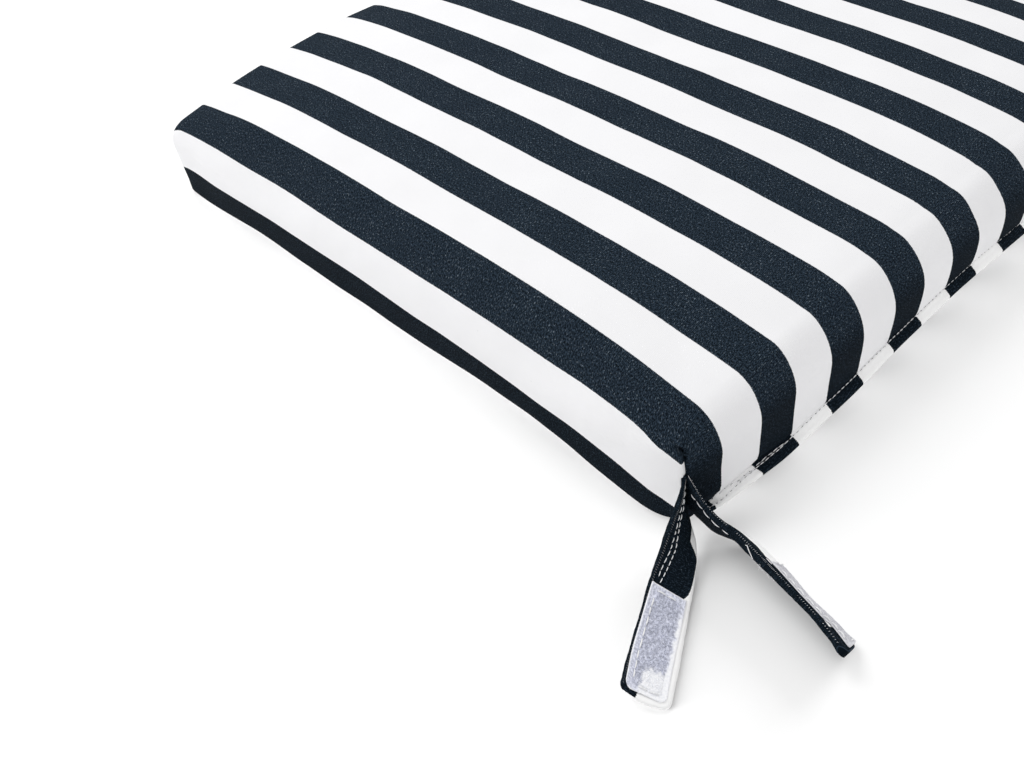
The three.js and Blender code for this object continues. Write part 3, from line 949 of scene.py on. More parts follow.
def thread_material():
    """Spun sewing thread."""
    material, net = new_material("sewing_thread", roughness=0.7, specular=0.2)
    place = net.object_place()
    net.paint(net.mix(net.patches(place, **THREAD_TONES), *THREAD_COLOURS))
    net.raise_by(net.noise(place, THREAD_RELIEF_SCALE), **THREAD_RELIEF)
    return material


def grey_and_shadow_material():
    """Grey thread of close overcasting, also used for the painted shadows where stitches sink into the
    cloth.
    """
    material, net = new_material("grey_thread", roughness=0.95, specular=0.05)
    net.paint(net.mix(net.patches(net.object_place(), **GREY_TONES), *GREY_COLOURS))
    return material


def loop_material():
    """Pale loop pile, brighter where it has been pressed flat."""
    material, net = new_material("loop_pile", roughness=0.95, specular=0.08)
    across, along, pressed = net.attribute("cloth")
    curls = net.noise(net.vector(across, along), **PILE_CURLS)
    tone = net.step(curls, **PILE_TONES)
    net.paint(net.mix(pressed, net.mix(tone, *PILE_COLOURS), net.mix(tone, *PRESSED_COLOURS)))
    net.raise_by(curls, **PILE_RELIEF)
    return material


def hook_material():
    """Pale woven strip under its moulded hooks."""
    material, net = new_material("hook_strip", roughness=0.6, specular=0.25)
    across, along, _ = net.attribute("cloth")
    rib = net.math("SINE", net.times(across, 2 * math.pi / HOOK_RIB_PITCH))
    net.paint(net.mix(net.patches(net.vector(across, along), **HOOK_TONES), *HOOK_COLOURS))
    net.raise_by(rib, **HOOK_RELIEF)
    return material


def canvas():
    """The one canvas material of the cover, hem and ties."""
    found = bpy.data.materials.get("stripe_twill")
    return found or canvas_material(bpy.context.scene.cloth_look)


def thread():
    """The one thread material of all stitching."""
    return bpy.data.materials.get("sewing_thread") or thread_material()


def grey_thread_and_shadows():
    """The one material of all grey thread and of the painted stitch shadows."""
    return bpy.data.materials.get("grey_thread") or grey_and_shadow_material()


def dress(piece, material):
    """Gives a piece its material and its place on the frame."""
    piece.data.materials.append(material)
    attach(piece, BODY)
    return piece


# The flange: how far it is sewn in, how it droops, bends down and tapers, its mesh, the places of its seam
# and bead, its lumps and puckers, where it is eased near its ends, and how its stripes are shifted
FLANGE_ROOT = 5 * MM
FLANGE_DROOP = 0.6 * MM
FLANGE_DROOP_ANGLE = math.radians(42)
FLANGE_DROOP_TO = 125 * MM
FLANGE_DROOP_OVER = 50 * MM
FLANGE_BEND_FROM = -0.8 * MM
FLANGE_BEND_OVER = 2.2 * MM
FLANGE_TAPER = 55 * MM
FLANGE_STEP = 0.9 * MM
FLANGE_SECTION = 15
FLANGE_SEAM = 0.5
FLANGE_BEAD = 0.86
# Painted shading of the flange: painted light on its white, painted shade on its dark
FLANGE_PAINTED_SHADING = 0.9
FLANGE_LUMPS = 0.3 * MM
FLANGE_LUMPS_FROM_ROOT = 0.4
FLANGE_PUCKER = np.array([1.3, 0.5, 0.5])
FLANGE_PUCKER_SHARE = 0.7
FLANGE_LINES = np.linspace(0.2, 0.9, 15)
FLANGE_EASED_FROM = 150 * MM
FLANGE_EASED_OVER = 70 * MM
FLANGE_SHIFT = 0.5 * MM
FLANGE_CORNER_SHIFT = 5.2 * MM
FLANGE_UNEVEN = 0.4 * MM
FLANGE_CALM = 0.15
FLANGE_WAVE = 0.4 * MM
FLANGE_BEND_STEPS = 12

# Lengths of its unevenness, waves, lumps and puckers in millimetres
FLANGE_LENGTHS = dict(uneven=42, wave=30, lump=5, pucker=4)

# Its faces as shares of half the thickness: how high the upper one lies, how deep the seam presses it and
# how high the bead along the folded edge stands, with their spreads over the width, and the folded edge
FLANGE_FACE = dict(level=0.85, seam_depth=0.45, seam_spread=0.05, bead_height=0.25, bead_spread=0.07,
                   edge=0.45, edge_from=0.95)


class HemForm:
    """The folded hem flange, along the seam of the tied edge."""

    def __init__(self, cover, sizes):
        self.sizes = sizes
        self.along = spaced(-sizes.reach, sizes.reach, FLANGE_STEP)
        self.seam = cover.points(self.along, -cover.half_y, 0.0)
        full = ease((sizes.reach - np.abs(self.along)) / FLANGE_TAPER)
        uneven = FLANGE_UNEVEN * soft_noise(self.seam / MM, FLANGE_LENGTHS["uneven"], SEEDS["flange_width"])
        near_end = ease((np.abs(self.along) - FLANGE_EASED_FROM) / FLANGE_EASED_OVER)
        self.crumple = FLANGE_CALM + (1 - FLANGE_CALM) * near_end
        self.width = sizes.end_width + (sizes.width + uneven - sizes.end_width) * full
        self.waves = soft_noise(self.seam / MM, FLANGE_LENGTHS["wave"], SEEDS["flange_waves"])
        past_droop = ease((np.abs(self.along) - FLANGE_DROOP_TO) / FLANGE_DROOP_OVER)
        self.droop = FLANGE_DROOP_ANGLE * (1 - past_droop)
        shift = FLANGE_SHIFT + FLANGE_CORNER_SHIFT * near_end
        self.run = self.seam[:, 0] - np.sign(self.seam[:, 0]) * shift

    def surface(self, share):
        """Middle line of the flange at a share of its width."""
        half = self.sizes.thickness / 2
        out = share * (FLANGE_ROOT + self.width) - FLANGE_ROOT
        beyond = np.maximum(out - FLANGE_BEND_FROM, 0)
        steps = np.linspace(0, 1, FLANGE_BEND_STEPS)[:, None]
        angles = self.droop * ease(steps * beyond / FLANGE_BEND_OVER)
        drop = (np.sin(angles) * beyond).mean(0)
        gain = (np.cos(angles) * beyond).mean(0)
        y = self.seam[:, 1] - (np.minimum(out, FLANGE_BEND_FROM) + gain)
        z = self.seam[:, 2] - drop - FLANGE_DROOP * share + FLANGE_WAVE * self.waves * share
        return np.stack([self.seam[:, 0], y, np.maximum(z, half)], -1)

    def upper(self, share):
        """Height of the upper face over the middle line: pressed by the seam, full at the folded edge."""
        half = self.sizes.thickness / 2
        face = FLANGE_FACE
        pressed = face["seam_depth"] * bump(share, FLANGE_SEAM, face["seam_spread"])
        bead = face["bead_height"] * bump(share, FLANGE_BEAD, face["bead_spread"])
        places = self.surface(share)
        lumps = soft_noise(places / MM, FLANGE_LENGTHS["lump"], SEEDS["flange_lumps"])
        puckers = soft_noise(places * FLANGE_PUCKER / MM, FLANGE_LENGTHS["pucker"], SEEDS["flange_puckers"])
        lumps = lumps + FLANGE_PUCKER_SHARE * puckers
        beyond_root = ease(share / FLANGE_LUMPS_FROM_ROOT)
        return half * (face["level"] - pressed + bead) + FLANGE_LUMPS * self.crumple * lumps * beyond_root

    def rings(self):
        """Sections of the folded cloth."""
        half = self.sizes.thickness / 2
        shares = np.linspace(0, FLANGE_FACE["edge_from"], FLANGE_SECTION)
        upper = [self.surface(share) + self.upper(share)[:, None] * UP for share in shares]
        lower = [self.surface(share) - half * UP for share in shares]
        outer = self.surface(1.0)
        upper.append(outer + half * FLANGE_FACE["edge"] * UP)
        lower.append(outer - half * FLANGE_FACE["edge"] * UP)
        return np.stack(upper + lower[::-1], 1)

    def line(self, rows, lift):
        """Points along the upper face, at shares of the width given by distance from the middle."""
        rows = [(from_middle * MM, share) for from_middle, share in rows]
        shares = table(rows, 0, 1, np.abs(self.seam[:, 0]))
        near = np.stack([self.surface(share) + (self.upper(share) + lift)[:, None] * UP
                         for share in FLANGE_LINES])
        place = (shares - FLANGE_LINES[0]) / (FLANGE_LINES[1] - FLANGE_LINES[0])
        low = np.clip(place.astype(int), 0, len(FLANGE_LINES) - 2)
        rest = (place - low)[:, None]
        each = np.arange(len(shares))
        return near[low, each] * (1 - rest) + near[low + 1, each] * rest


def strand_mesh(name, paths, radii, sides=5, values=None):
    """Many thin tubes with closed ends. paths is strands by points, radii the tube's size at each point."""
    paths = np.asarray(paths, float)
    count, steps = paths.shape[:2]
    radii = np.broadcast_to(radii, (count, steps))
    run = units(np.gradient(paths, axis=1))
    chord = paths[:, -1] - paths[:, 0]
    spare = np.where(np.abs(chord[:, 2:3]) > np.abs(chord[:, 0:1]), [[1.0, 0, 0]], [[0, 0, 1.0]])
    side = np.cross(run, spare[:, None])
    side /= np.maximum(np.linalg.norm(side, axis=-1, keepdims=True), TINY)
    rise = np.cross(side, run)
    angles = 2 * math.pi * np.arange(sides) / sides
    ring = np.cos(angles)[:, None] * side[:, :, None] + np.sin(angles)[:, None] * rise[:, :, None]
    vertices = (paths[:, :, None] + radii[:, :, None, None] * ring).reshape(-1, 3)
    ids = np.arange(count * steps * sides).reshape(count, steps, sides)
    turned = np.roll(ids, -1, axis=2)
    tube = np.stack([ids[:, :-1], turned[:, :-1], turned[:, 1:], ids[:, 1:]], -1).reshape(-1, 4)
    caps = np.concatenate([ids[:, 0, ::-1], ids[:, -1]])
    faces = [face.tolist() for face in tube] + [face.tolist() for face in caps]
    corner = None
    if values is not None:
        spread = np.repeat(np.asarray(values, float), steps * sides, axis=0)
        corner = corner_values(spread, faces)
    return new_object(name, vertices, faces, corner)


# Stitches: the steps along one, how far up its arch it starts and how deep that is sunk, how thin it ends
# and how fast it tapers, the gap before the next one, and how much lengths and gaps vary
STITCH_STEPS = 7
STITCH_STARTS = 0.1
STITCH_SUNK = 0.62
STITCH_END_SIZE = 0.5
STITCH_TAPER = 0.4
STITCH_GAP = 0.8 * MM
STITCH_LENGTHS = (0.8, 1.15)
STITCH_GAPS = (0.7, 1.4)


def stitch_paths(lines, size):
    """Arched paths of stitches that dip into the cloth at both ends. lines holds start, end and up."""
    shares = np.linspace(0, 1, STITCH_STEPS)
    arch = np.sin(math.pi * (STITCH_STARTS + (1 - 2 * STITCH_STARTS) * shares)) - STITCH_SUNK
    paths = [start + (end - start) * shares[:, None] + unit(up) * (size * arch)[:, None]
             for start, end, up in lines]
    thick = STITCH_END_SIZE + (1 - STITCH_END_SIZE) * np.sin(math.pi * shares) ** STITCH_TAPER
    return np.array(paths), size / 2 * thick


def dashes(path, ups, stitch, rng, wander):
    """Stitches along a path of points with an up direction at each."""
    run = run_length(path[None], 1)[0]
    lines, place = [], STITCH_GAP
    while place + stitch < run[-1]:
        size = stitch * rng.uniform(*STITCH_LENGTHS)
        ends = []
        for s in (place, min(place + size, run[-1])):
            point = np.array([np.interp(s, run, path[:, i]) for i in range(3)])
            ends.append(point + np.array([rng.uniform(-wander, wander) for _ in range(3)]))
        up = np.array([np.interp(place, run, ups[:, i]) for i in range(3)])
        lines.append((ends[0], ends[1], up))
        place += size + STITCH_GAP * rng.uniform(*STITCH_GAPS)
    return lines


SMALLEST_GAP = 1e-6


def smooth_curve(points, shares):
    """Places along a smooth curve through points, evenly shared between them."""
    points = np.asarray(points, float)
    padded = np.concatenate([[2 * points[0] - points[1]], points, [2 * points[-1] - points[-2]]])
    made = []
    for station in np.asarray(shares) * (len(points) - 1):
        i = min(int(station), len(points) - 2)
        w = station - i
        p = padded[i:i + 4]
        gaps = np.maximum(np.linalg.norm(np.diff(p, axis=0), axis=1) ** 0.5, SMALLEST_GAP)
        leave = (p[1] - p[0]) / gaps[0] - (p[2] - p[0]) / (gaps[0] + gaps[1]) + (p[2] - p[1]) / gaps[1]
        arrive = (p[2] - p[1]) / gaps[1] - (p[3] - p[1]) / (gaps[1] + gaps[2]) + (p[3] - p[2]) / gaps[2]
        made.append((2 * w**3 - 3 * w**2 + 1) * p[1] + (w**3 - 2 * w**2 + w) * gaps[1] * leave
                    + (3 * w**2 - 2 * w**3) * p[2] + (w**3 - w**2) * gaps[1] * arrive)
    return np.array(made)


# Each tie across its width, in millimetres from the stitched edge: how its faces round off at both edges,
# the ridge of turned-in layers, the groove beside it, how full the rest is, how full the free end stays,
# the depth of the crease between the layers along the stitched edge, and the free end's corners and bow
TIE_LAYERS = {
    "loop": dict(edge=1.0, edge_power=2.6, ridge=2.2, groove=2.5, groove_depth=0.42, body=0.72, fold=2.2,
                 end=0.55, crease=0.0, corner=2.4, bow=2.6),
    "hook": dict(edge=1.5, edge_power=3.4, ridge=3.0, groove=3.4, groove_depth=0.12, body=1.12, fold=2.4,
                 end=0.86, crease=0.45, corner=4.6, bow=0.4),
}

# Where the dark cloth turns white on the upper face, in millimetres from the stitched edge, by share of the
# length
TIE_DARK = {
    "loop": [
        dict(share=0, to=24), dict(share=0.145, to=17.6), dict(share=0.25, to=15.6),
        dict(share=0.325, to=15), dict(share=0.36, to=17.5), dict(share=0.395, to=20),
        dict(share=0.475, to=19.6), dict(share=0.54, to=19.5), dict(share=0.575, to=19.0),
        dict(share=0.6, to=17.2), dict(share=0.63, to=15.6), dict(share=0.8, to=11.8), dict(share=1, to=7.4),
    ],
    "hook": [
        dict(share=0, to=24), dict(share=0.2, to=22), dict(share=0.25, to=8.5),
        dict(share=0.3, to=5), dict(share=0.42, to=3.8), dict(share=0.64, to=4.2),
        dict(share=0.8, to=3.2), dict(share=0.886, to=2.8), dict(share=0.896, to=8),
        dict(share=0.955, to=7.4), dict(share=0.975, to=6.4), dict(share=0.982, to=23.5),
        dict(share=1, to=23.5),
    ],
}

# Rows of stitches on each tie: the face they are on, how much longer than usual the stitches are, and
# places along them by share of the length and millimetres from the stitched edge
TIE_SEAMS = {
    "loop": [
        dict(face=1, places=[(0.03, 2.4), (0.1, 3.0), (0.215, 3.0), (0.315, 4.2), (0.41, 4.4), (0.52, 3.1),
                             (0.575, 3.3)]),
        dict(face=1, places=[(0.06, 3.8), (0.13, 4.4), (0.195, 4.9), (0.31, 5.8), (0.4, 6.9), (0.51, 5.8),
                             (0.58, 4.7)]),
    ],
    "hook": [
        dict(face=-1, stitch=1.7, places=[(0.025, 7.4), (0.09, 3.2), (0.145, 1.6), (0.19, 0.8),
                                          (0.23, 0.3), (0.28, 0.05)]),
    ],
}

# Close overcasting along each tie's stitched edge: where it runs by share of the length, and between which
# distances from the edge it reaches on the upper face, in millimetres
OVERCASTING = {
    "loop": dict(start=0.02, end=0.99, low=0.5, high=1.5),
    "hook": dict(start=0.02, end=0.955, low=0.02, high=0.13),
}
OVERCAST_PITCH = 1.15 * MM
OVERCAST_THREAD = 0.13 * MM
OVERCAST_THIN_THREAD = 0.06 * MM
OVERCAST_LEAN = 0.35 * MM
OVERCAST_ARCH = 0.05 * MM
OVERCAST_REACHES = (0.8, 1.1)
OVERCAST_TAPER = np.array([0.6, 1, 1.1, 1, 0.6])

# How the cloth's stripes lie on the under face, and on the hook tie's folded-in end
HOOK_UNDER = 1.5 * MM
HOOK_UNDER_STRETCH = 0.95
LOOP_UNDER = 3 * MM
HOOK_END_SHARE = 0.98
HOOK_END_INSIDE = 12 * MM

# The ties' painted shading (painted light on their white, painted shade on their dark), the steps of their
# meshes, their free ends, ripples and stitches, and the crease, whose level and spread are shares of half
# the thickness
TIE_PAINTED_SHADING = 0.9
TIE_STEPS = 150
TIE_FACE_POINTS = 30
TIE_CAP_POINTS = 10
TIE_RUN_STEP = 0.01
TIE_END_REACH = 7 * MM
TIE_END_PRESSED = 1.5 * MM
TIE_OVER_FLOOR = 0.02 * MM
TIE_RIPPLES = [dict(wavelength=12, height=0.16, seed=23), dict(wavelength=3.5, height=0.06, seed=29)]
TIE_SEAM_POINTS = 50
TIE_STITCH_LIFT = 0.1 * MM
TIE_STITCH_WANDER = 0.1 * MM
CREASE_LEVEL = 0.22
CREASE_SPREAD = 0.12
CREASE_WITHIN = 2 * MM

# Across a tie, in millimetres: over what distance its ridge falls off, how far from the fold its face
# starts to thin and over what distance, and the groove's half width
RIDGE_FALL = 1.5
BEFORE_FOLD = 1.5
BEFORE_FOLD_OVER = 5
GROOVE_SPREAD = 0.4


class TieForm:
    """A flat tube of folded canvas between its stitched edge and its folded edge."""

    def __init__(self, kind, side, cover):
        corner = np.array([-cover.half_x, -cover.half_y, 0])
        turn = np.array([side, 1, 1])
        rows = TIE_ROWS[kind]
        self.kind = kind
        self.side = side
        self.layers = TIE_LAYERS[kind]
        self.stitched = [(corner + np.array(row["stitched"]) * MM) * turn for row in rows]
        self.folded = [(corner + np.array(row["folded"]) * MM) * turn for row in rows]
        self.thick = [row["thick"] * MM for row in rows]

    def frames(self, shares):
        """Stitched edge, directions across and off the upper face, width and thickness along the length."""
        shares = np.asarray(shares, float)
        stitched = smooth_curve(self.stitched, shares)
        folded = smooth_curve(self.folded, shares)
        ahead, behind = np.minimum(shares + TIE_RUN_STEP, 1), np.maximum(shares - TIE_RUN_STEP, 0)
        run = units(smooth_curve(self.stitched, ahead) + smooth_curve(self.folded, ahead)
                    - smooth_curve(self.stitched, behind) - smooth_curve(self.folded, behind))
        across = folded - stitched
        width = np.linalg.norm(across, axis=1)
        across = across / width[:, None]
        off = units(np.cross(run, across) * self.side)
        thick = np.interp(shares * (len(self.thick) - 1), np.arange(len(self.thick)), self.thick)
        lengths = run_length((stitched + folded)[None] / 2, 1)[0]
        return dict(stitched=stitched, across=across, off=off, width=width, thick=thick, run=run,
                    lengths=lengths)

    def stations(self):
        """Shares of the length at which the tie is cut into sections, and its frames there."""
        shares = np.linspace(0, 1, TIE_STEPS + 1)
        return shares, self.frames(shares)

    def height(self, from_edge, width):
        """Height of the upper face over the middle, as a share of half the thickness."""
        layers = self.layers
        place = from_edge / MM
        left = np.clip(1 - place / layers["edge"], 0, 1)
        right = np.clip(1 - (width / MM - place) / layers["fold"], 0, 1)
        rounded = (1 - left ** layers["edge_power"]) ** (1 / layers["edge_power"]) * np.sqrt(1 - right ** 2)
        past_ridge = ease((place - layers["ridge"]) / RIDGE_FALL)
        before_fold = ease((width / MM - place - BEFORE_FOLD) / BEFORE_FOLD_OVER)
        hollow = past_ridge * before_fold
        groove = layers["groove_depth"] * bump(place, layers["groove"], GROOVE_SPREAD)
        return rounded * (1 - (1 - layers["body"]) * hollow) * (1 - groove)

    def place(self, share, from_edge, face, lift):
        """A place on a face and the direction off it."""
        here = self.frames([share])
        height = here["thick"][0] / 2 * self.height(np.array(from_edge), here["width"][0]) + lift
        point = here["stitched"][0] + here["across"][0] * from_edge
        return point + face * here["off"][0] * height, face * here["off"][0]


def tie_section(tie, width):
    """Distances from the stitched edge, from it to the fold, of the points on one face."""
    edge, fold = tie.layers["edge"] * MM, tie.layers["fold"] * MM
    turns = (np.arange(TIE_CAP_POINTS) + 0.5) / TIE_CAP_POINTS * math.pi / 2
    power = tie.layers["edge_power"]
    from_edge = edge * (1 - np.cos(turns) ** (2 / power))
    from_fold = fold * (1 - np.cos(turns))
    flat = np.linspace(edge, width - fold, TIE_FACE_POINTS)
    return np.concatenate([from_edge, flat, (width - from_fold)[::-1]])


def shape_free_end(tie, here, across, height):
    """How far the free end's corners and bow draw each point back, and heights with its edge pressed."""
    from_end = (here["lengths"][-1] - here["lengths"])[:, None]
    nearest = np.minimum(across, here["width"][:, None] - across)
    corner = tie.layers["corner"] * MM
    gap = np.clip(corner - nearest, 0, corner)
    middle = across / here["width"][:, None]
    bow = tie.layers["bow"] * MM * 4 * middle * (1 - middle)
    pull = (corner - np.sqrt(corner**2 - gap**2) - bow) * (1 - ease(from_end / TIE_END_REACH))
    end = tie.layers["end"]
    return pull, height * (end + (1 - end) * np.sqrt(ease(from_end / TIE_END_PRESSED)))


def tie_cloth(tie, shares, here, across, upper, look):
    """Cloth coordinates round a tie, where the turn from dark to white runs along the upper face."""
    arc = run_length(upper, 1)
    turn = table(TIE_DARK[tie.kind], "share", "to", shares) * MM
    turn_arc = np.array([np.interp(turn[i], across[i], arc[i]) for i in range(len(shares))])
    turn_arc = turn_arc + np.maximum(turn - here["width"], 0)
    dark_end = look.dark_start + look.dark_width
    over = dark_end + arc - turn_arc[:, None]
    if tie.kind == "hook":
        under = dark_end - HOOK_UNDER - HOOK_UNDER_STRETCH * arc
    else:
        under = dark_end - LOOP_UNDER + arc
    cloth = np.concatenate([over, under[:, ::-1]], 1)
    if tie.kind == "hook":
        cloth[shares > HOOK_END_SHARE] = dark_end - HOOK_END_INSIDE
    along = np.broadcast_to(here["lengths"][:, None], cloth.shape)
    # The third part is the tie's painted shading
    return np.stack([cloth, along, np.full_like(cloth, TIE_PAINTED_SHADING)], -1)


def build_tie(kind, name, side, cover, look):
    """One tie as a mesh object."""
    tie = TieForm(kind, side, cover)
    shares, here = tie.stations()
    across = np.array([tie_section(tie, width) for width in here["width"]])
    height = tie.height(across, here["width"][:, None]) * (here["thick"] / 2)[:, None]
    pull, height = shape_free_end(tie, here, across, height)
    base = here["stitched"][:, None] + here["across"][:, None] * across[..., None]
    base = base - here["run"][:, None] * pull[..., None]
    level = height / (here["thick"] / 2)[:, None]
    crease = tie.layers["crease"] * MM * bump(level, CREASE_LEVEL, CREASE_SPREAD) * (across < CREASE_WITHIN)
    creased = base + here["across"][:, None] * crease[..., None]
    lift = here["off"][:, None] * height[..., None]
    upper, lower = creased + lift, base - lift
    rings = np.concatenate([upper, lower[:, ::-1]], 1)
    rings[..., 2] = np.maximum(rings[..., 2], TIE_OVER_FLOOR)
    made = tube_object(f"{kind}_tie_cloth_{name}", rings, tie_cloth(tie, shares, here, across, upper, look))

    places, normals = vertex_places(made.data), vertex_normals(made.data)
    ripple = sum(wave["height"] * MM * soft_noise(places / MM, wave["wavelength"], wave["seed"])
                 for wave in TIE_RIPPLES)
    moved = places + normals * ripple[:, None]
    moved[:, 2] = np.maximum(moved[:, 2], TIE_OVER_FLOOR)
    set_places(made.data, moved)
    return made, tie


def tie_stitches(tie, hem):
    """Stitches along a tie's seams."""
    rng = random.Random(SEEDS["tie_stitches"])
    rows = []
    for seam in TIE_SEAMS[tie.kind]:
        shares = np.linspace(seam["places"][0][0], seam["places"][-1][0], TIE_SEAM_POINTS)
        from_edge = table(seam["places"], 0, 1, shares) * MM
        spots = [tie.place(share, distance, seam["face"], TIE_STITCH_LIFT)
                 for share, distance in zip(shares, from_edge)]
        path, ups = np.array([spot[0] for spot in spots]), np.array([spot[1] for spot in spots])
        rows += dashes(path, ups, seam.get("stitch", 1) * hem.stitch, rng, TIE_STITCH_WANDER)
    return rows


def overcasting(tie):
    """Paths of the short threads that bind a tie's stitched edge."""
    shape = OVERCASTING[tie.kind]
    rng = random.Random(SEEDS["overcasting"])
    length = tie.stations()[1]["lengths"][-1]
    paths = []
    for share in np.arange(shape["start"], shape["end"], OVERCAST_PITCH / length):
        reach = shape["high"] * rng.uniform(*OVERCAST_REACHES)
        path = []
        for step in np.linspace(0, 1, len(OVERCAST_TAPER)):
            from_edge = (shape["low"] + (reach - shape["low"]) * step) * MM
            place = share + OVERCAST_LEAN * step / length
            path.append(tie.place(place, from_edge, 1, OVERCAST_ARCH * math.sin(math.pi * step))[0])
        paths.append(path)
    size = OVERCAST_THREAD if tie.kind == "loop" else OVERCAST_THIN_THREAD
    return np.array(paths), size * OVERCAST_TAPER


# Each tape on its tie: start and end along it by share, and how much later its far corner starts; its near
# and far edges, at its start and its end, and between which shares of its length the near one turns aside;
# its end's bow and corners; how far the box of stitches lies inside its outline; its strip's thickness as a
# share of the full one; and how far its end peels off. Distances are in millimetres, and those of the edges
# count from the tie's stitched edge
TAPES = {
    "loop": dict(start=0.576, skew=0.024, end=0.99, near=0.9, near_end=1.6, turns=0.5, turned=1.0, far=18.8,
                 far_end=20.6, bow=2.2, corner=2.8, box_near=3.0, box_far=3.1, box_end=2.6, strip=1.0,
                 lift_end=0.0),
    "hook": dict(start=0.48, skew=0.0, end=0.988, near=1.6, near_end=4.8, turns=0.7, turned=0.8, far=18.6,
                 far_end=18.6, bow=0.3, corner=1.2, box_near=2.0, box_far=2.0, box_end=2.0, strip=0.65,
                 lift_end=1.0),
}
TAPE_LEVEL = 0.8
TAPE_OVER_RIPPLES = 0.2 * MM
TAPE_BOW_POWER = 6
TAPE_STEPS_ALONG = 110
TAPE_STEPS_ACROSS = 44
TAPE_ROUND_SHARE = 0.7
TAPE_PEEL_FROM = 0.8
TAPE_EDGE_ROUND = 0.35 * MM
TAPE_EDGE_LEAST = 0.05
TAPE_SEAM_SPREAD = 0.35 * MM
TAPE_SEAM_DEPTH = 0.4
TAPE_FIELD_OVER = 0.8 * MM
TAPE_FIELD_RISE = 0.3
TAPE_WAVE = dict(height=0.05 * MM, length=5, fade=1 * MM)

# The box of stitches on a tape: its thread as a multiple of the hem's, its stitches, the height in strip
# thicknesses at which they are sewn, and how much of a corner by the free end it cuts off
TAPE_THREAD = 1.55
TAPE_STITCH = 4.4 * MM
TAPE_STITCH_LIFT = 0.42 * MM
TAPE_STITCH_WANDER = 0.12 * MM
TAPE_SEWN_AT = 1.05
BOX_CUT = 0.6
BOX_POINTS = 30

# Loops and hooks: how they are set out, and their sizes. A loop's height, and how much of it is lost where
# it is pressed, are in millimetres. Both kinds start at a height in strip thicknesses. The hook's curve is
# given by steps out and up
PILE_INSET = 0.6 * MM
PILE_JITTER = 0.4
PILE_SIZES = (0.7, 1.3)
LOOP_SPACING = 0.82 * MM
LOOP_SIZE = 0.66 * MM
LOOP_THREAD = 0.15 * MM
LOOP_POINTS = 7
LOOP_BEND = 0.45
LOOP_HEIGHT, LOOP_PRESSED = 0.42, 0.26
LOOP_STARTS_AT = 1.15
HOOK_SPACING = 0.82 * MM
HOOK_RISE = 0.24 * MM
HOOK_THREAD = 0.09 * MM
HOOK_LEAN = 0.3 * MM
HOOK_STARTS_AT = 1.2
HOOK_LEAST, HOOK_UNEVEN = 0.9, 0.1
HOOK_CURVE = ((0, 0), (0.05, 0.6), (0.35, 1.0), (0.9, 0.93), (1.15, 0.6))

# Where the loop pile is pressed flat, in shares of the tape's width and length: near the free end past a
# slanting line, but not beside its near edge; in a border along its far edge; and in a rim all round
PRESSED = dict(start=0.755, slant=0.1, over=0.06, near=0.22, near_slant=0.3, near_over=0.12, border=0.85,
               border_over=0.08, border_start=0.12, border_start_over=0.1, rim=0.3 * MM, ragged=0.04,
               ragged_length=3)


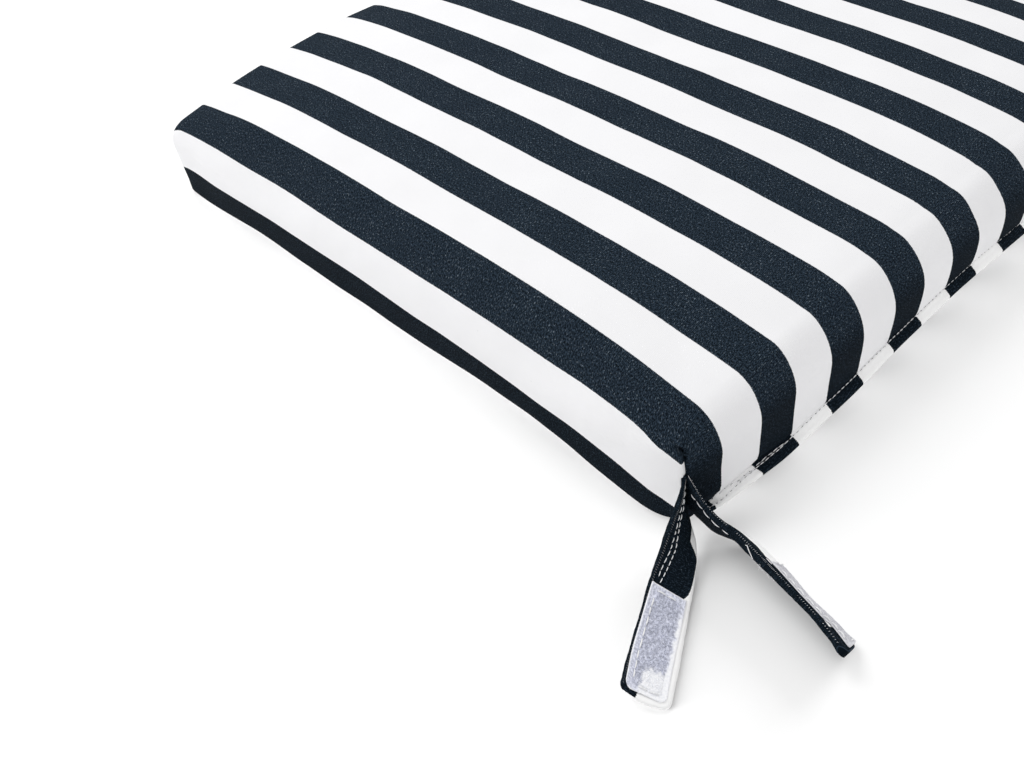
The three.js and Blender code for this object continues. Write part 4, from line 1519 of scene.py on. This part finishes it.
class TapeForm:
    """A tape patch on the upper face of a tie."""

    def __init__(self, tie, sizes):
        self.tie = tie
        self.shape = shape = TAPES[tie.kind]
        self.shares, self.frames = tie.stations()
        self.tie_length = self.frames["lengths"][-1]
        self.length = (shape["end"] - shape["start"]) * self.tie_length
        self.width = (shape["far_end"] - shape["near"]) * MM
        self.gap = sizes.tape_gap
        self.strip = sizes.tape_thickness * shape["strip"]

    def parts(self, key, share):
        """A value of the tie's frames at shares of its length."""
        values = self.frames[key]
        if values.ndim == 1:
            return np.interp(share, self.shares, values)
        return np.stack([np.interp(share, self.shares, values[:, i]) for i in range(3)], -1)

    def points(self, u, v, lift):
        """Places on the tape: u across from the stitched edge, v along, lift over the tie's face."""
        shape = self.shape
        start = shape["start"] + shape["skew"] * u
        bow = shape["bow"] * MM * 4 * u * (1 - u) * v**TAPE_BOW_POWER
        share = start + (shape["end"] - start) * v + bow / self.tie_length
        turned = ease((v - shape["turns"]) / (shape["turned"] - shape["turns"]))
        near = shape["near"] + (shape["near_end"] - shape["near"]) * turned
        far = shape["far"] + (shape["far_end"] - shape["far"]) * v
        from_edge = (near + (far - near) * u) * MM
        base = self.parts("stitched", share) + self.parts("across", share) * from_edge[..., None]
        width = self.parts("width", share)
        level = np.maximum(self.tie.height(from_edge, width), TAPE_LEVEL)
        peel = shape["lift_end"] * MM * ease((v - TAPE_PEEL_FROM) / (1 - TAPE_PEEL_FROM)) ** 2 * ease(u)
        height = level * self.parts("thick", share) / 2 + TAPE_OVER_RIPPLES + lift + peel
        return base + self.parts("off", share) * height[..., None]

    def noise(self, u, v, wavelength, seed):
        """Soft noise over the tape, of a wavelength in millimetres."""
        spots = np.stack([u * self.width, v * self.length, 0 * u], -1) / MM
        return soft_noise(spots.reshape(-1, 3), wavelength, seed).reshape(u.shape)

    def from_outline(self, u, v):
        """Distance of places from the tape's outline."""
        return np.minimum(np.minimum(u, 1 - u) * self.width, np.minimum(v, 1 - v) * self.length)

    def cloth(self, u, v, pressed):
        """Cloth vectors of places: distances across and along, and how far the pile is pressed."""
        return np.stack([u * self.width, v * self.length, pressed], -1)

    def pressed(self, u, v):
        """Share by which the pile is pressed flat, on the loop tape alone."""
        if self.tie.kind == "hook":
            return 0 * u
        rules = PRESSED
        ragged = rules["ragged"] * self.noise(u, v, rules["ragged_length"], SEEDS["pressed_pile"])
        near_end = ease((v + ragged - rules["start"] + rules["slant"] * u) / rules["over"])
        off_near_edge = u + ragged - rules["near"] - rules["near_slant"] * (1 - v)
        near_end = near_end * ease(off_near_edge / rules["near_over"])
        border = ease((u + ragged - rules["border"]) / rules["border_over"])
        border = border * ease((v - rules["border_start"]) / rules["border_start_over"])
        rim = 1 - ease((self.from_outline(u, v) - rules["rim"]) / rules["rim"])
        return np.maximum(np.maximum(near_end, border), rim)

    def box(self):
        """Sides of the stitched box as shares across and along: near, far, start and end."""
        shape = self.shape
        end = shape["box_end"] * MM / self.length
        return shape["box_near"] * MM / self.width, 1 - shape["box_far"] * MM / self.width, end, 1 - end


def build_tape(name, form):
    """The woven strip of a tape: thin, its free end's corners round, with a pressed line at its seam."""
    v = np.linspace(0, 1, TAPE_STEPS_ALONG + 1)
    u = np.linspace(0, 1, TAPE_STEPS_ACROSS + 1)
    vv, uu = np.meshgrid(v, u, indexing="ij")
    corner = form.shape["corner"] * MM
    round_start = TAPE_ROUND_SHARE * corner + vv * form.length
    gap = np.clip(corner - np.minimum((1 - vv) * form.length, round_start), 0, corner)
    inset = (corner - np.sqrt(corner**2 - gap**2)) / form.width
    uu = inset + uu * (1 - 2 * inset)
    edge = form.from_outline(uu, vv)
    near, far, start, end = form.box()
    inside = np.minimum(np.minimum(uu - near, far - uu) * form.width,
                        np.minimum(vv - start, end - vv) * form.length)
    round_edge = np.sqrt(np.clip(edge / TAPE_EDGE_ROUND, TAPE_EDGE_LEAST, 1))
    seam = TAPE_SEAM_DEPTH * bump(inside, 0, TAPE_SEAM_SPREAD)
    field = TAPE_FIELD_RISE * ease(inside / TAPE_FIELD_OVER)
    waves = TAPE_WAVE["height"] * form.noise(uu, vv, TAPE_WAVE["length"], SEEDS["tape_waves"])
    thick = form.strip * round_edge * (1 + field - seam) + waves * ease(edge / TAPE_WAVE["fade"])
    upper = form.points(uu, vv, form.gap + thick)
    lower = form.points(uu, vv, form.gap + 0 * uu)
    rings = np.concatenate([upper, lower[:, ::-1]], 1)
    values = form.cloth(uu, vv, form.pressed(uu, vv))
    values = np.concatenate([values, values[:, ::-1]], 1)
    return tube_object(f"{form.tie.kind}_tape_strip_{name}", rings, values)


def pile_places(form, spacing, seed):
    """Jittered places of loops or hooks inside the stitched box."""
    rng = random.Random(seed)
    near, far, start, end = form.box()
    step_u, step_v = spacing / form.width, spacing / form.length
    inset_u, inset_v = PILE_INSET / form.width, PILE_INSET / form.length
    places = []
    for u in np.arange(near + inset_u, far - inset_u, step_u):
        for v in np.arange(start + inset_v, end - inset_v, step_v):
            jitter_u = rng.uniform(-PILE_JITTER, PILE_JITTER) * spacing / form.width
            jitter_v = rng.uniform(-PILE_JITTER, PILE_JITTER) * spacing / form.length
            turn = rng.uniform(0, 2 * math.pi)
            places.append((u + jitter_u, v + jitter_v, turn, rng.uniform(*PILE_SIZES)))
    return np.array(places)


def build_loops(name, form):
    """The curly loop pile: a short arched thread at each place, lower where it has been pressed flat."""
    u, v, turn, size = pile_places(form, LOOP_SPACING, SEEDS["loops"]).T
    pressed = form.pressed(u, v)
    base_lift = form.gap + form.strip * LOOP_STARTS_AT
    paths = []
    for step in np.linspace(-1, 1, LOOP_POINTS):
        swing = LOOP_SIZE * size * step
        bend = LOOP_BEND * LOOP_SIZE * size * (1 - step**2) * np.sign(np.sin(3 * turn))
        du = (np.cos(turn) * swing - np.sin(turn) * bend) / form.width
        dv = (np.sin(turn) * swing + np.cos(turn) * bend) / form.length
        rise = (LOOP_HEIGHT - LOOP_PRESSED * pressed) * MM * size * (1 - step**2)
        paths.append(form.points(u + du, v + dv, base_lift + rise))
    paths = np.stack(paths, 1)
    return strand_mesh(f"loop_pile_{name}", paths, LOOP_THREAD, 5, form.cloth(u, v, pressed))


def build_hooks(name, form):
    """Rows of short moulded hooks, each bent over at its tip."""
    u, v, turn, size = pile_places(form, HOOK_SPACING, SEEDS["hooks"]).T
    lean = np.where(np.sin(turn) > 0, 1.0, -1.0) * HOOK_LEAN / form.length
    base_lift = form.gap + form.strip * HOOK_STARTS_AT
    height = HOOK_LEAST + HOOK_UNEVEN * size
    paths = [form.points(u, v + lean * out, base_lift + rise * HOOK_RISE * height)
             for out, rise in HOOK_CURVE]
    return strand_mesh(f"hook_field_{name}", np.stack(paths, 1), HOOK_THREAD, 4, form.cloth(u, v, 0 * u))


def tape_stitches(form):
    """A box of stitches just inside the tape's outline, its side by the fold hidden in the pile."""
    near, far, start, end = form.box()
    turn = BOX_CUT * (1 - end)
    sides = [((near, start), (far, start)), ((far, end), (near + turn, end)),
             ((near + turn, end), (near, end - turn)), ((near, end - turn), (near, start))]
    rng = random.Random(SEEDS["tape_stitches"])
    lift = form.gap + form.strip * TAPE_SEWN_AT + TAPE_STITCH_LIFT
    tape_start, tape_end = form.shape["start"], form.shape["end"]
    rows = []
    for (ua, va), (ub, vb) in sides:
        shares = np.linspace(0, 1, BOX_POINTS)
        path = form.points(ua + (ub - ua) * shares, va + (vb - va) * shares, lift + 0 * shares)
        along = tape_start + (tape_end - tape_start) * (va + (vb - va) * shares)
        rows += dashes(path, form.parts("off", along), TAPE_STITCH, rng, TAPE_STITCH_WANDER)
    return rows


# Frayed ends of thread on the hook tie: face, share of the length, millimetres from the stitched edge,
# how many strands and their length in millimetres
FRAYED = [
    dict(face=-1, share=0.412, from_edge=1.0, strands=6, length=1.6),
    dict(face=-1, share=0.458, from_edge=1.0, strands=16, length=3.2),
    dict(face=-1, share=0.50, from_edge=1.0, strands=8, length=2.0),
    dict(face=-1, share=0.548, from_edge=1.2, strands=12, length=2.6),
    dict(face=-1, share=0.585, from_edge=1.2, strands=6, length=1.6),
    dict(face=1, share=0.965, from_edge=14, strands=8, length=1.6),
]

# Loose sewing threads that lie over the hook tie's band: face, share of the length, and millimetres from
# the stitched edge and off the face at each place
LOOSE_THREADS = [
    [(-1, 0.336, -0.2, 0.0), (-1, 0.344, -0.5, -0.4), (-1, 0.353, -0.5, 0.1), (-1, 0.364, -0.5, 0.6),
     (-1, 0.377, -0.45, 1.1), (-1, 0.39, -0.4, 1.6), (-1, 0.403, -0.3, 2.1)],
    [(1, 0.455, 0.9, 0.1), (1, 0.463, 0.5, 0.4), (1, 0.475, 0.4, 0.5), (1, 0.487, 0.4, 0.4),
     (1, 0.497, 0.5, 0.3), (1, 0.505, 0.7, 0.2), (1, 0.512, 1.0, 0.05)],
]
LOOSE_THREAD = 0.22 * MM

# The strands of a tuft: their steps, how far apart they start along the tie by share, their lengths, and
# how they fan out, curl, sag and thin
FRAY_STEPS = 12
FRAY_PLACES = 0.012
FRAY_LENGTHS = (0.5, 1.1)
FRAY_SPREAD = 0.9
FRAY_CURL = 0.55
FRAY_SAG = np.array([0, 0, -0.12])
FRAY_THREAD = np.linspace(0.1, 0.05, FRAY_STEPS + 1) * MM
FRAY_OVER_FLOOR = 0.1 * MM


def frayed_path(tie, tuft, rng):
    """One curly strand of a tuft."""
    share = tuft["share"] + rng.uniform(-FRAY_PLACES, FRAY_PLACES)
    root, off = tie.place(share, tuft["from_edge"] * MM, tuft["face"], 0.0)
    heading = unit(off + stray(rng, FRAY_SPREAD))
    length = tuft["length"] * MM * rng.uniform(*FRAY_LENGTHS)
    points = [root]
    for _ in range(FRAY_STEPS):
        heading = unit(heading + stray(rng, FRAY_CURL) + FRAY_SAG)
        points.append(points[-1] + heading * length / FRAY_STEPS)
    return points


def build_frayed(name, tie):
    """Tufts of fine frayed thread, and the loose threads."""
    rng = random.Random(SEEDS["frayed"])
    paths = [frayed_path(tie, tuft, rng) for tuft in FRAYED for _ in range(tuft["strands"])]
    radii = [FRAY_THREAD] * len(paths)
    for places in LOOSE_THREADS:
        points = [tie.place(share, from_edge * MM, face, lift * MM)[0]
                  for face, share, from_edge, lift in places]
        paths.append(smooth_curve(points, np.linspace(0, 1, FRAY_STEPS + 1)))
        radii.append(np.full(FRAY_STEPS + 1, LOOSE_THREAD))
    paths = np.array(paths)
    paths[..., 2] = np.maximum(paths[..., 2], FRAY_OVER_FLOOR)
    return strand_mesh(f"frayed_thread_{name}", paths, np.array(radii), 4)


# Rows of stitches on the flange: millimetres from the middle, and the share of the flange's width. The
# second row is slack and crosses the first one near a tied corner
HEM_ROW = [
    (0, 0.47), (130, 0.48), (150, 0.52), (166, 0.55), (174, 0.53), (180, 0.54), (190, 0.58), (200, 0.74),
    (206, 0.8),
]
SECOND_ROW = [(148, 0.47), (158, 0.56), (164.5, 0.47), (174, 0.43), (182, 0.46), (190, 0.43), (197, 0.3)]
HEM_WANDER = 0.12 * MM
SECOND_WANDER = 0.3 * MM
SECOND_STITCH = 1.3
HEM_STITCH_LIFT = 0.17 * MM
HEM_STITCH_UP = [0, -0.3, 1.0]


def hem_stitches(hem, row, ends, stitch, wander, rng):
    """Stitches along a row on the flange, between two places along it."""
    line = hem.line(row, HEM_STITCH_LIFT)
    line = line[(hem.along >= ends[0]) & (hem.along <= ends[1])]
    return dashes(line, np.repeat([HEM_STITCH_UP], len(line), 0), stitch, rng, wander)


# Painted shadows at the ends of stitches, short grey pieces for the shade where the thread sinks into the
# cloth: their length, how far along the stitch they lie, how deep, and their size
STITCH_SHADOW_LENGTH = 0.55 * MM
STITCH_SHADOW_PLACES = np.linspace(-0.2, 0.8, 4)
STITCH_SHADOW_DEPTH = 0.02 * MM
STITCH_SHADOW_SIZE = 0.2 * MM
STITCH_SHADOW_TAPER = np.array([0.6, 1, 1, 0.5])


def stitch_shadow_paths(lines):
    """Painted shadows: short grey pieces at both ends of each stitch, for the shade where its thread sinks
    into the cloth.
    """
    paths = []
    for start, end, up in lines:
        run = unit(end - start)
        for point, way in ((start, -1), (end, 1)):
            places = STITCH_SHADOW_PLACES[:, None] * way * STITCH_SHADOW_LENGTH * run
            paths.append(point + places - STITCH_SHADOW_DEPTH * up)
    return np.array(paths), STITCH_SHADOW_SIZE * STITCH_SHADOW_TAPER


class CUSHION_OT_cover(bpy.types.Operator):
    """Make the filled, striped cover"""
    bl_idname = "cushion.cover"
    bl_label = "Cover"

    def execute(self, context):
        form = CoverForm(context.scene.cover_sizes)
        starts, shifts = simulate_filling(form, context.scene)
        cover = new_object("cushion_cover", *build_cover(form))
        fill_cover(cover.data, form, starts, shifts)
        fold_cover(cover.data, form)
        dress(cover, canvas())
        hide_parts("cushion")
        return {"FINISHED"}


class CUSHION_OT_hem(bpy.types.Operator):
    """Make the hem flange and the stitching on it"""
    bl_idname = "cushion.hem"
    bl_label = "Hem flange"

    def execute(self, context):
        sizes = context.scene.hem_sizes
        hem = HemForm(CoverForm(context.scene.cover_sizes), sizes)
        rings = hem.rings()
        run = np.repeat(hem.run[:, None], rings.shape[1], 1)
        # The third part is the flange's painted shading
        values = np.stack([run, rings[..., 1], np.full_like(run, FLANGE_PAINTED_SHADING)], -1)
        flange = tube_object("hem_flange", rings, values)
        dress(flange, canvas())

        rng = random.Random(SEEDS["hem_stitches"])
        rows = hem_stitches(hem, HEM_ROW, (-sizes.reach, sizes.reach), sizes.stitch, HEM_WANDER, rng)
        for side in SIDES.values():
            ends = sorted(-side * x * MM for x in (SECOND_ROW[0][0], SECOND_ROW[-1][0]))
            rows += hem_stitches(hem, SECOND_ROW, ends, SECOND_STITCH * sizes.stitch, SECOND_WANDER, rng)
        sewing = strand_mesh("hem_stitching", *stitch_paths(rows, sizes.thread))
        dress(sewing, thread())
        # Painted shadows where the stitches sink into the flange
        stitch_shadows = strand_mesh("hem_stitch_ends", *stitch_shadow_paths(rows))
        dress(stitch_shadows, grey_thread_and_shadows())
        return {"FINISHED"}


class CUSHION_OT_ties(bpy.types.Operator):
    """Make the two ties at each tied corner, with their stitching"""
    bl_idname = "cushion.ties"
    bl_label = "Ties"

    def execute(self, context):
        cover = CoverForm(context.scene.cover_sizes)
        hem = context.scene.hem_sizes
        for name, side in SIDES.items():
            for kind in TIE_ROWS:
                piece, tie = build_tie(kind, name, side, cover, context.scene.cloth_look)
                dress(piece, canvas())
                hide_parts(f"{kind}_tie_{name}")
                paths, radii = stitch_paths(tie_stitches(tie, hem), hem.thread)
                sewing = [strand_mesh(f"{kind}_tie_stitching_{name}", paths, radii)]
                if kind == "hook" and name == "left":
                    sewing.append(build_frayed(name, tie))
                for trim in sewing:
                    dress(trim, thread())
                sewing.append(strand_mesh(f"{kind}_tie_overcasting_{name}", *overcasting(tie)))
                dress(sewing[-1], grey_thread_and_shadows() if kind == "loop" else thread())
                here = tie.stations()[1]
        return {"FINISHED"}


class CUSHION_OT_tapes(bpy.types.Operator):
    """Make the loop and hook tape patches, with their pile, hooks and box stitching"""
    bl_idname = "cushion.tapes"
    bl_label = "Tapes"

    def execute(self, context):
        cover = CoverForm(context.scene.cover_sizes)
        sizes, hem = context.scene.tie_sizes, context.scene.hem_sizes
        materials = {"loop": loop_material(), "hook": hook_material()}
        fields = {"loop": build_loops, "hook": build_hooks}
        for name, side in SIDES.items():
            for kind in TIE_ROWS:
                form = TapeForm(TieForm(kind, side, cover), sizes)
                piece = build_tape(name, form)
                field = fields[kind](name, form)
                paths, radii = stitch_paths(tape_stitches(form), TAPE_THREAD * hem.thread)
                sewing = strand_mesh(f"{kind}_tape_stitching_{name}", paths, radii)
                for part in (piece, field):
                    dress(part, materials[kind])
                dress(sewing, thread())
                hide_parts(f"{kind}_tape_{name}")
        return {"FINISHED"}


# The floor, the even light all round, and the lamps, with places and sizes in metres and powers in watts
FLOOR_HALF = 4.0
FLOOR_BELOW = 0.1 * MM
FLOOR_GREY = (0.66, 0.66, 0.66)
WORLD_WHITE = (1.0, 1.0, 1.0)
WORLD_STRENGTH = 0.74
KEY_LAMP = dict(place=(-0.3, 0.8, 1.45), size=0.9, power=10.5)
FRONT_LAMP = dict(place=(0.3, -0.9, 1.3), size=0.9, power=1.6)

# Low lamps that light the floor alone, each shaded by the ties and tapes of one kind alone
FLOOR_LAMPS = [
    ("left_floor_light", "loop_t", dict(place=(-1.4, 0.3, 0.52), size=0.8, power=24)),
    ("right_floor_light", "hook_t", dict(place=(1.4, -0.2, 0.52), size=0.8, power=24)),
]
SENSOR_WIDTH = 36
NEAREST_SEEN = 0.01


class CUSHION_OT_stage(bpy.types.Operator):
    """Make the pale floor, the soft light and the camera"""
    bl_idname = "cushion.stage"
    bl_label = "Stage"

    def execute(self, context):
        half = FLOOR_HALF
        corners = [(-half, -half, 0), (half, -half, 0), (half, half, 0), (-half, half, 0)]
        floor = new_object("floor", corners, [[0, 1, 2, 3]])
        floor.location.z = -FLOOR_BELOW
        material, net = new_material("pale_floor", roughness=0.9, specular=0.1)
        net.paint(rgba(FLOOR_GREY))
        floor.data.materials.append(material)

        world = context.scene.world or bpy.data.worlds.new("studio")
        context.scene.world = world
        world.use_nodes = True
        background = world.node_tree.nodes["Background"]
        background.inputs["Color"].default_value = rgba(WORLD_WHITE)
        background.inputs["Strength"].default_value = WORLD_STRENGTH
        add_lamp("key_light", **KEY_LAMP)
        pieces = [piece for piece in context.scene.objects if piece.type == "MESH" and piece != floor]
        front = add_lamp("front_light", **FRONT_LAMP)
        front.light_linking.receiver_collection = group_of("front_lit", pieces)
        for name, kind, values in FLOOR_LAMPS:
            lamp = add_lamp(name, **values)
            lamp.light_linking.receiver_collection = group_of(f"{name}_lit", [floor])
            shading = [piece for piece in pieces if piece.name.startswith(kind)]
            lamp.light_linking.blocker_collection = group_of(f"{name}_shading", shading)
        context.scene.view_settings.view_transform = "Standard"
        context.scene.camera = add_camera(context.scene.stage_look)
        return {"FINISHED"}


def group_of(name, pieces):
    """A collection of the pieces that a lamp lights, or is shaded by."""
    group = bpy.data.collections.new(name)
    for piece in pieces:
        group.objects.link(piece)
    return group


def add_lamp(name, place, size, power):
    """A square soft light that faces the middle of the cushion."""
    data = bpy.data.lights.new(name, "AREA")
    data.size = size
    data.energy = power
    lamp = bpy.data.objects.new(name, data)
    lamp.location = place
    lamp.rotation_euler = (Vector((0, 0, 0)) - Vector(place)).to_track_quat("-Z", "Y").to_euler()
    bpy.context.scene.collection.objects.link(lamp)
    return lamp


def add_camera(look):
    """The camera at its viewing angle."""
    data = bpy.data.cameras.new("camera")
    data.lens = look.lens
    data.sensor_width = SENSOR_WIDTH
    data.clip_start = NEAREST_SEEN
    camera = bpy.data.objects.new("camera", data)
    forward = Vector((math.cos(look.elevation) * math.sin(look.azimuth),
                      math.cos(look.elevation) * math.cos(look.azimuth), -math.sin(look.elevation)))
    right = Vector((math.cos(look.azimuth), -math.sin(look.azimuth), 0))
    up = right.cross(forward)
    turned_right = right * math.cos(look.roll) + up * math.sin(look.roll)
    turned_up = up * math.cos(look.roll) - right * math.sin(look.roll)
    turn = Matrix((turned_right, turned_up, -forward)).transposed()
    camera.matrix_world = Matrix.Translation(look.place) @ turn.to_4x4()
    bpy.context.scene.collection.objects.link(camera)
    return camera


class CUSHION_PT_pieces(bpy.types.Panel):
    """Buttons for the cushion's pieces"""
    bl_idname = "CUSHION_PT_pieces"
    bl_label = "Chair Cushion"
    bl_space_type = "VIEW_3D"
    bl_region_type = "UI"
    bl_category = "Cushion"

    def draw(self, context):
        for operator in OPERATORS:
            self.layout.operator(operator.bl_idname)
        for group in GROUPS:
            settings = getattr(context.scene, group)
            for name in settings.bl_rna.properties.keys():
                if name not in ("rna_type", "name"):
                    self.layout.prop(settings, name)


OPERATORS = [CUSHION_OT_cover, CUSHION_OT_hem, CUSHION_OT_ties, CUSHION_OT_tapes, CUSHION_OT_stage]
GROUPS = {
    "cover_sizes": CoverSizes,
    "cloth_look": ClothLook,
    "hem_sizes": HemSizes,
    "tie_sizes": TieSizes,
    "stage_look": StageLook,
}


def register():
    for name, group in GROUPS.items():
        bpy.utils.register_class(group)
        setattr(bpy.types.Scene, name, bpy.props.PointerProperty(type=group))
    for operator in OPERATORS:
        bpy.utils.register_class(operator)
    bpy.utils.register_class(CUSHION_PT_pieces)


def unregister():
    bpy.utils.unregister_class(CUSHION_PT_pieces)
    for operator in reversed(OPERATORS):
        bpy.utils.unregister_class(operator)
    for name, group in reversed(GROUPS.items()):
        delattr(bpy.types.Scene, name)
        bpy.utils.unregister_class(group)


def main():
    """Makes every piece."""
    register()
    bpy.ops.cushion.cover()
    bpy.ops.cushion.hem()
    bpy.ops.cushion.ties()
    bpy.ops.cushion.tapes()
    bpy.ops.cushion.stage()


if __name__ == "__main__":
    main()
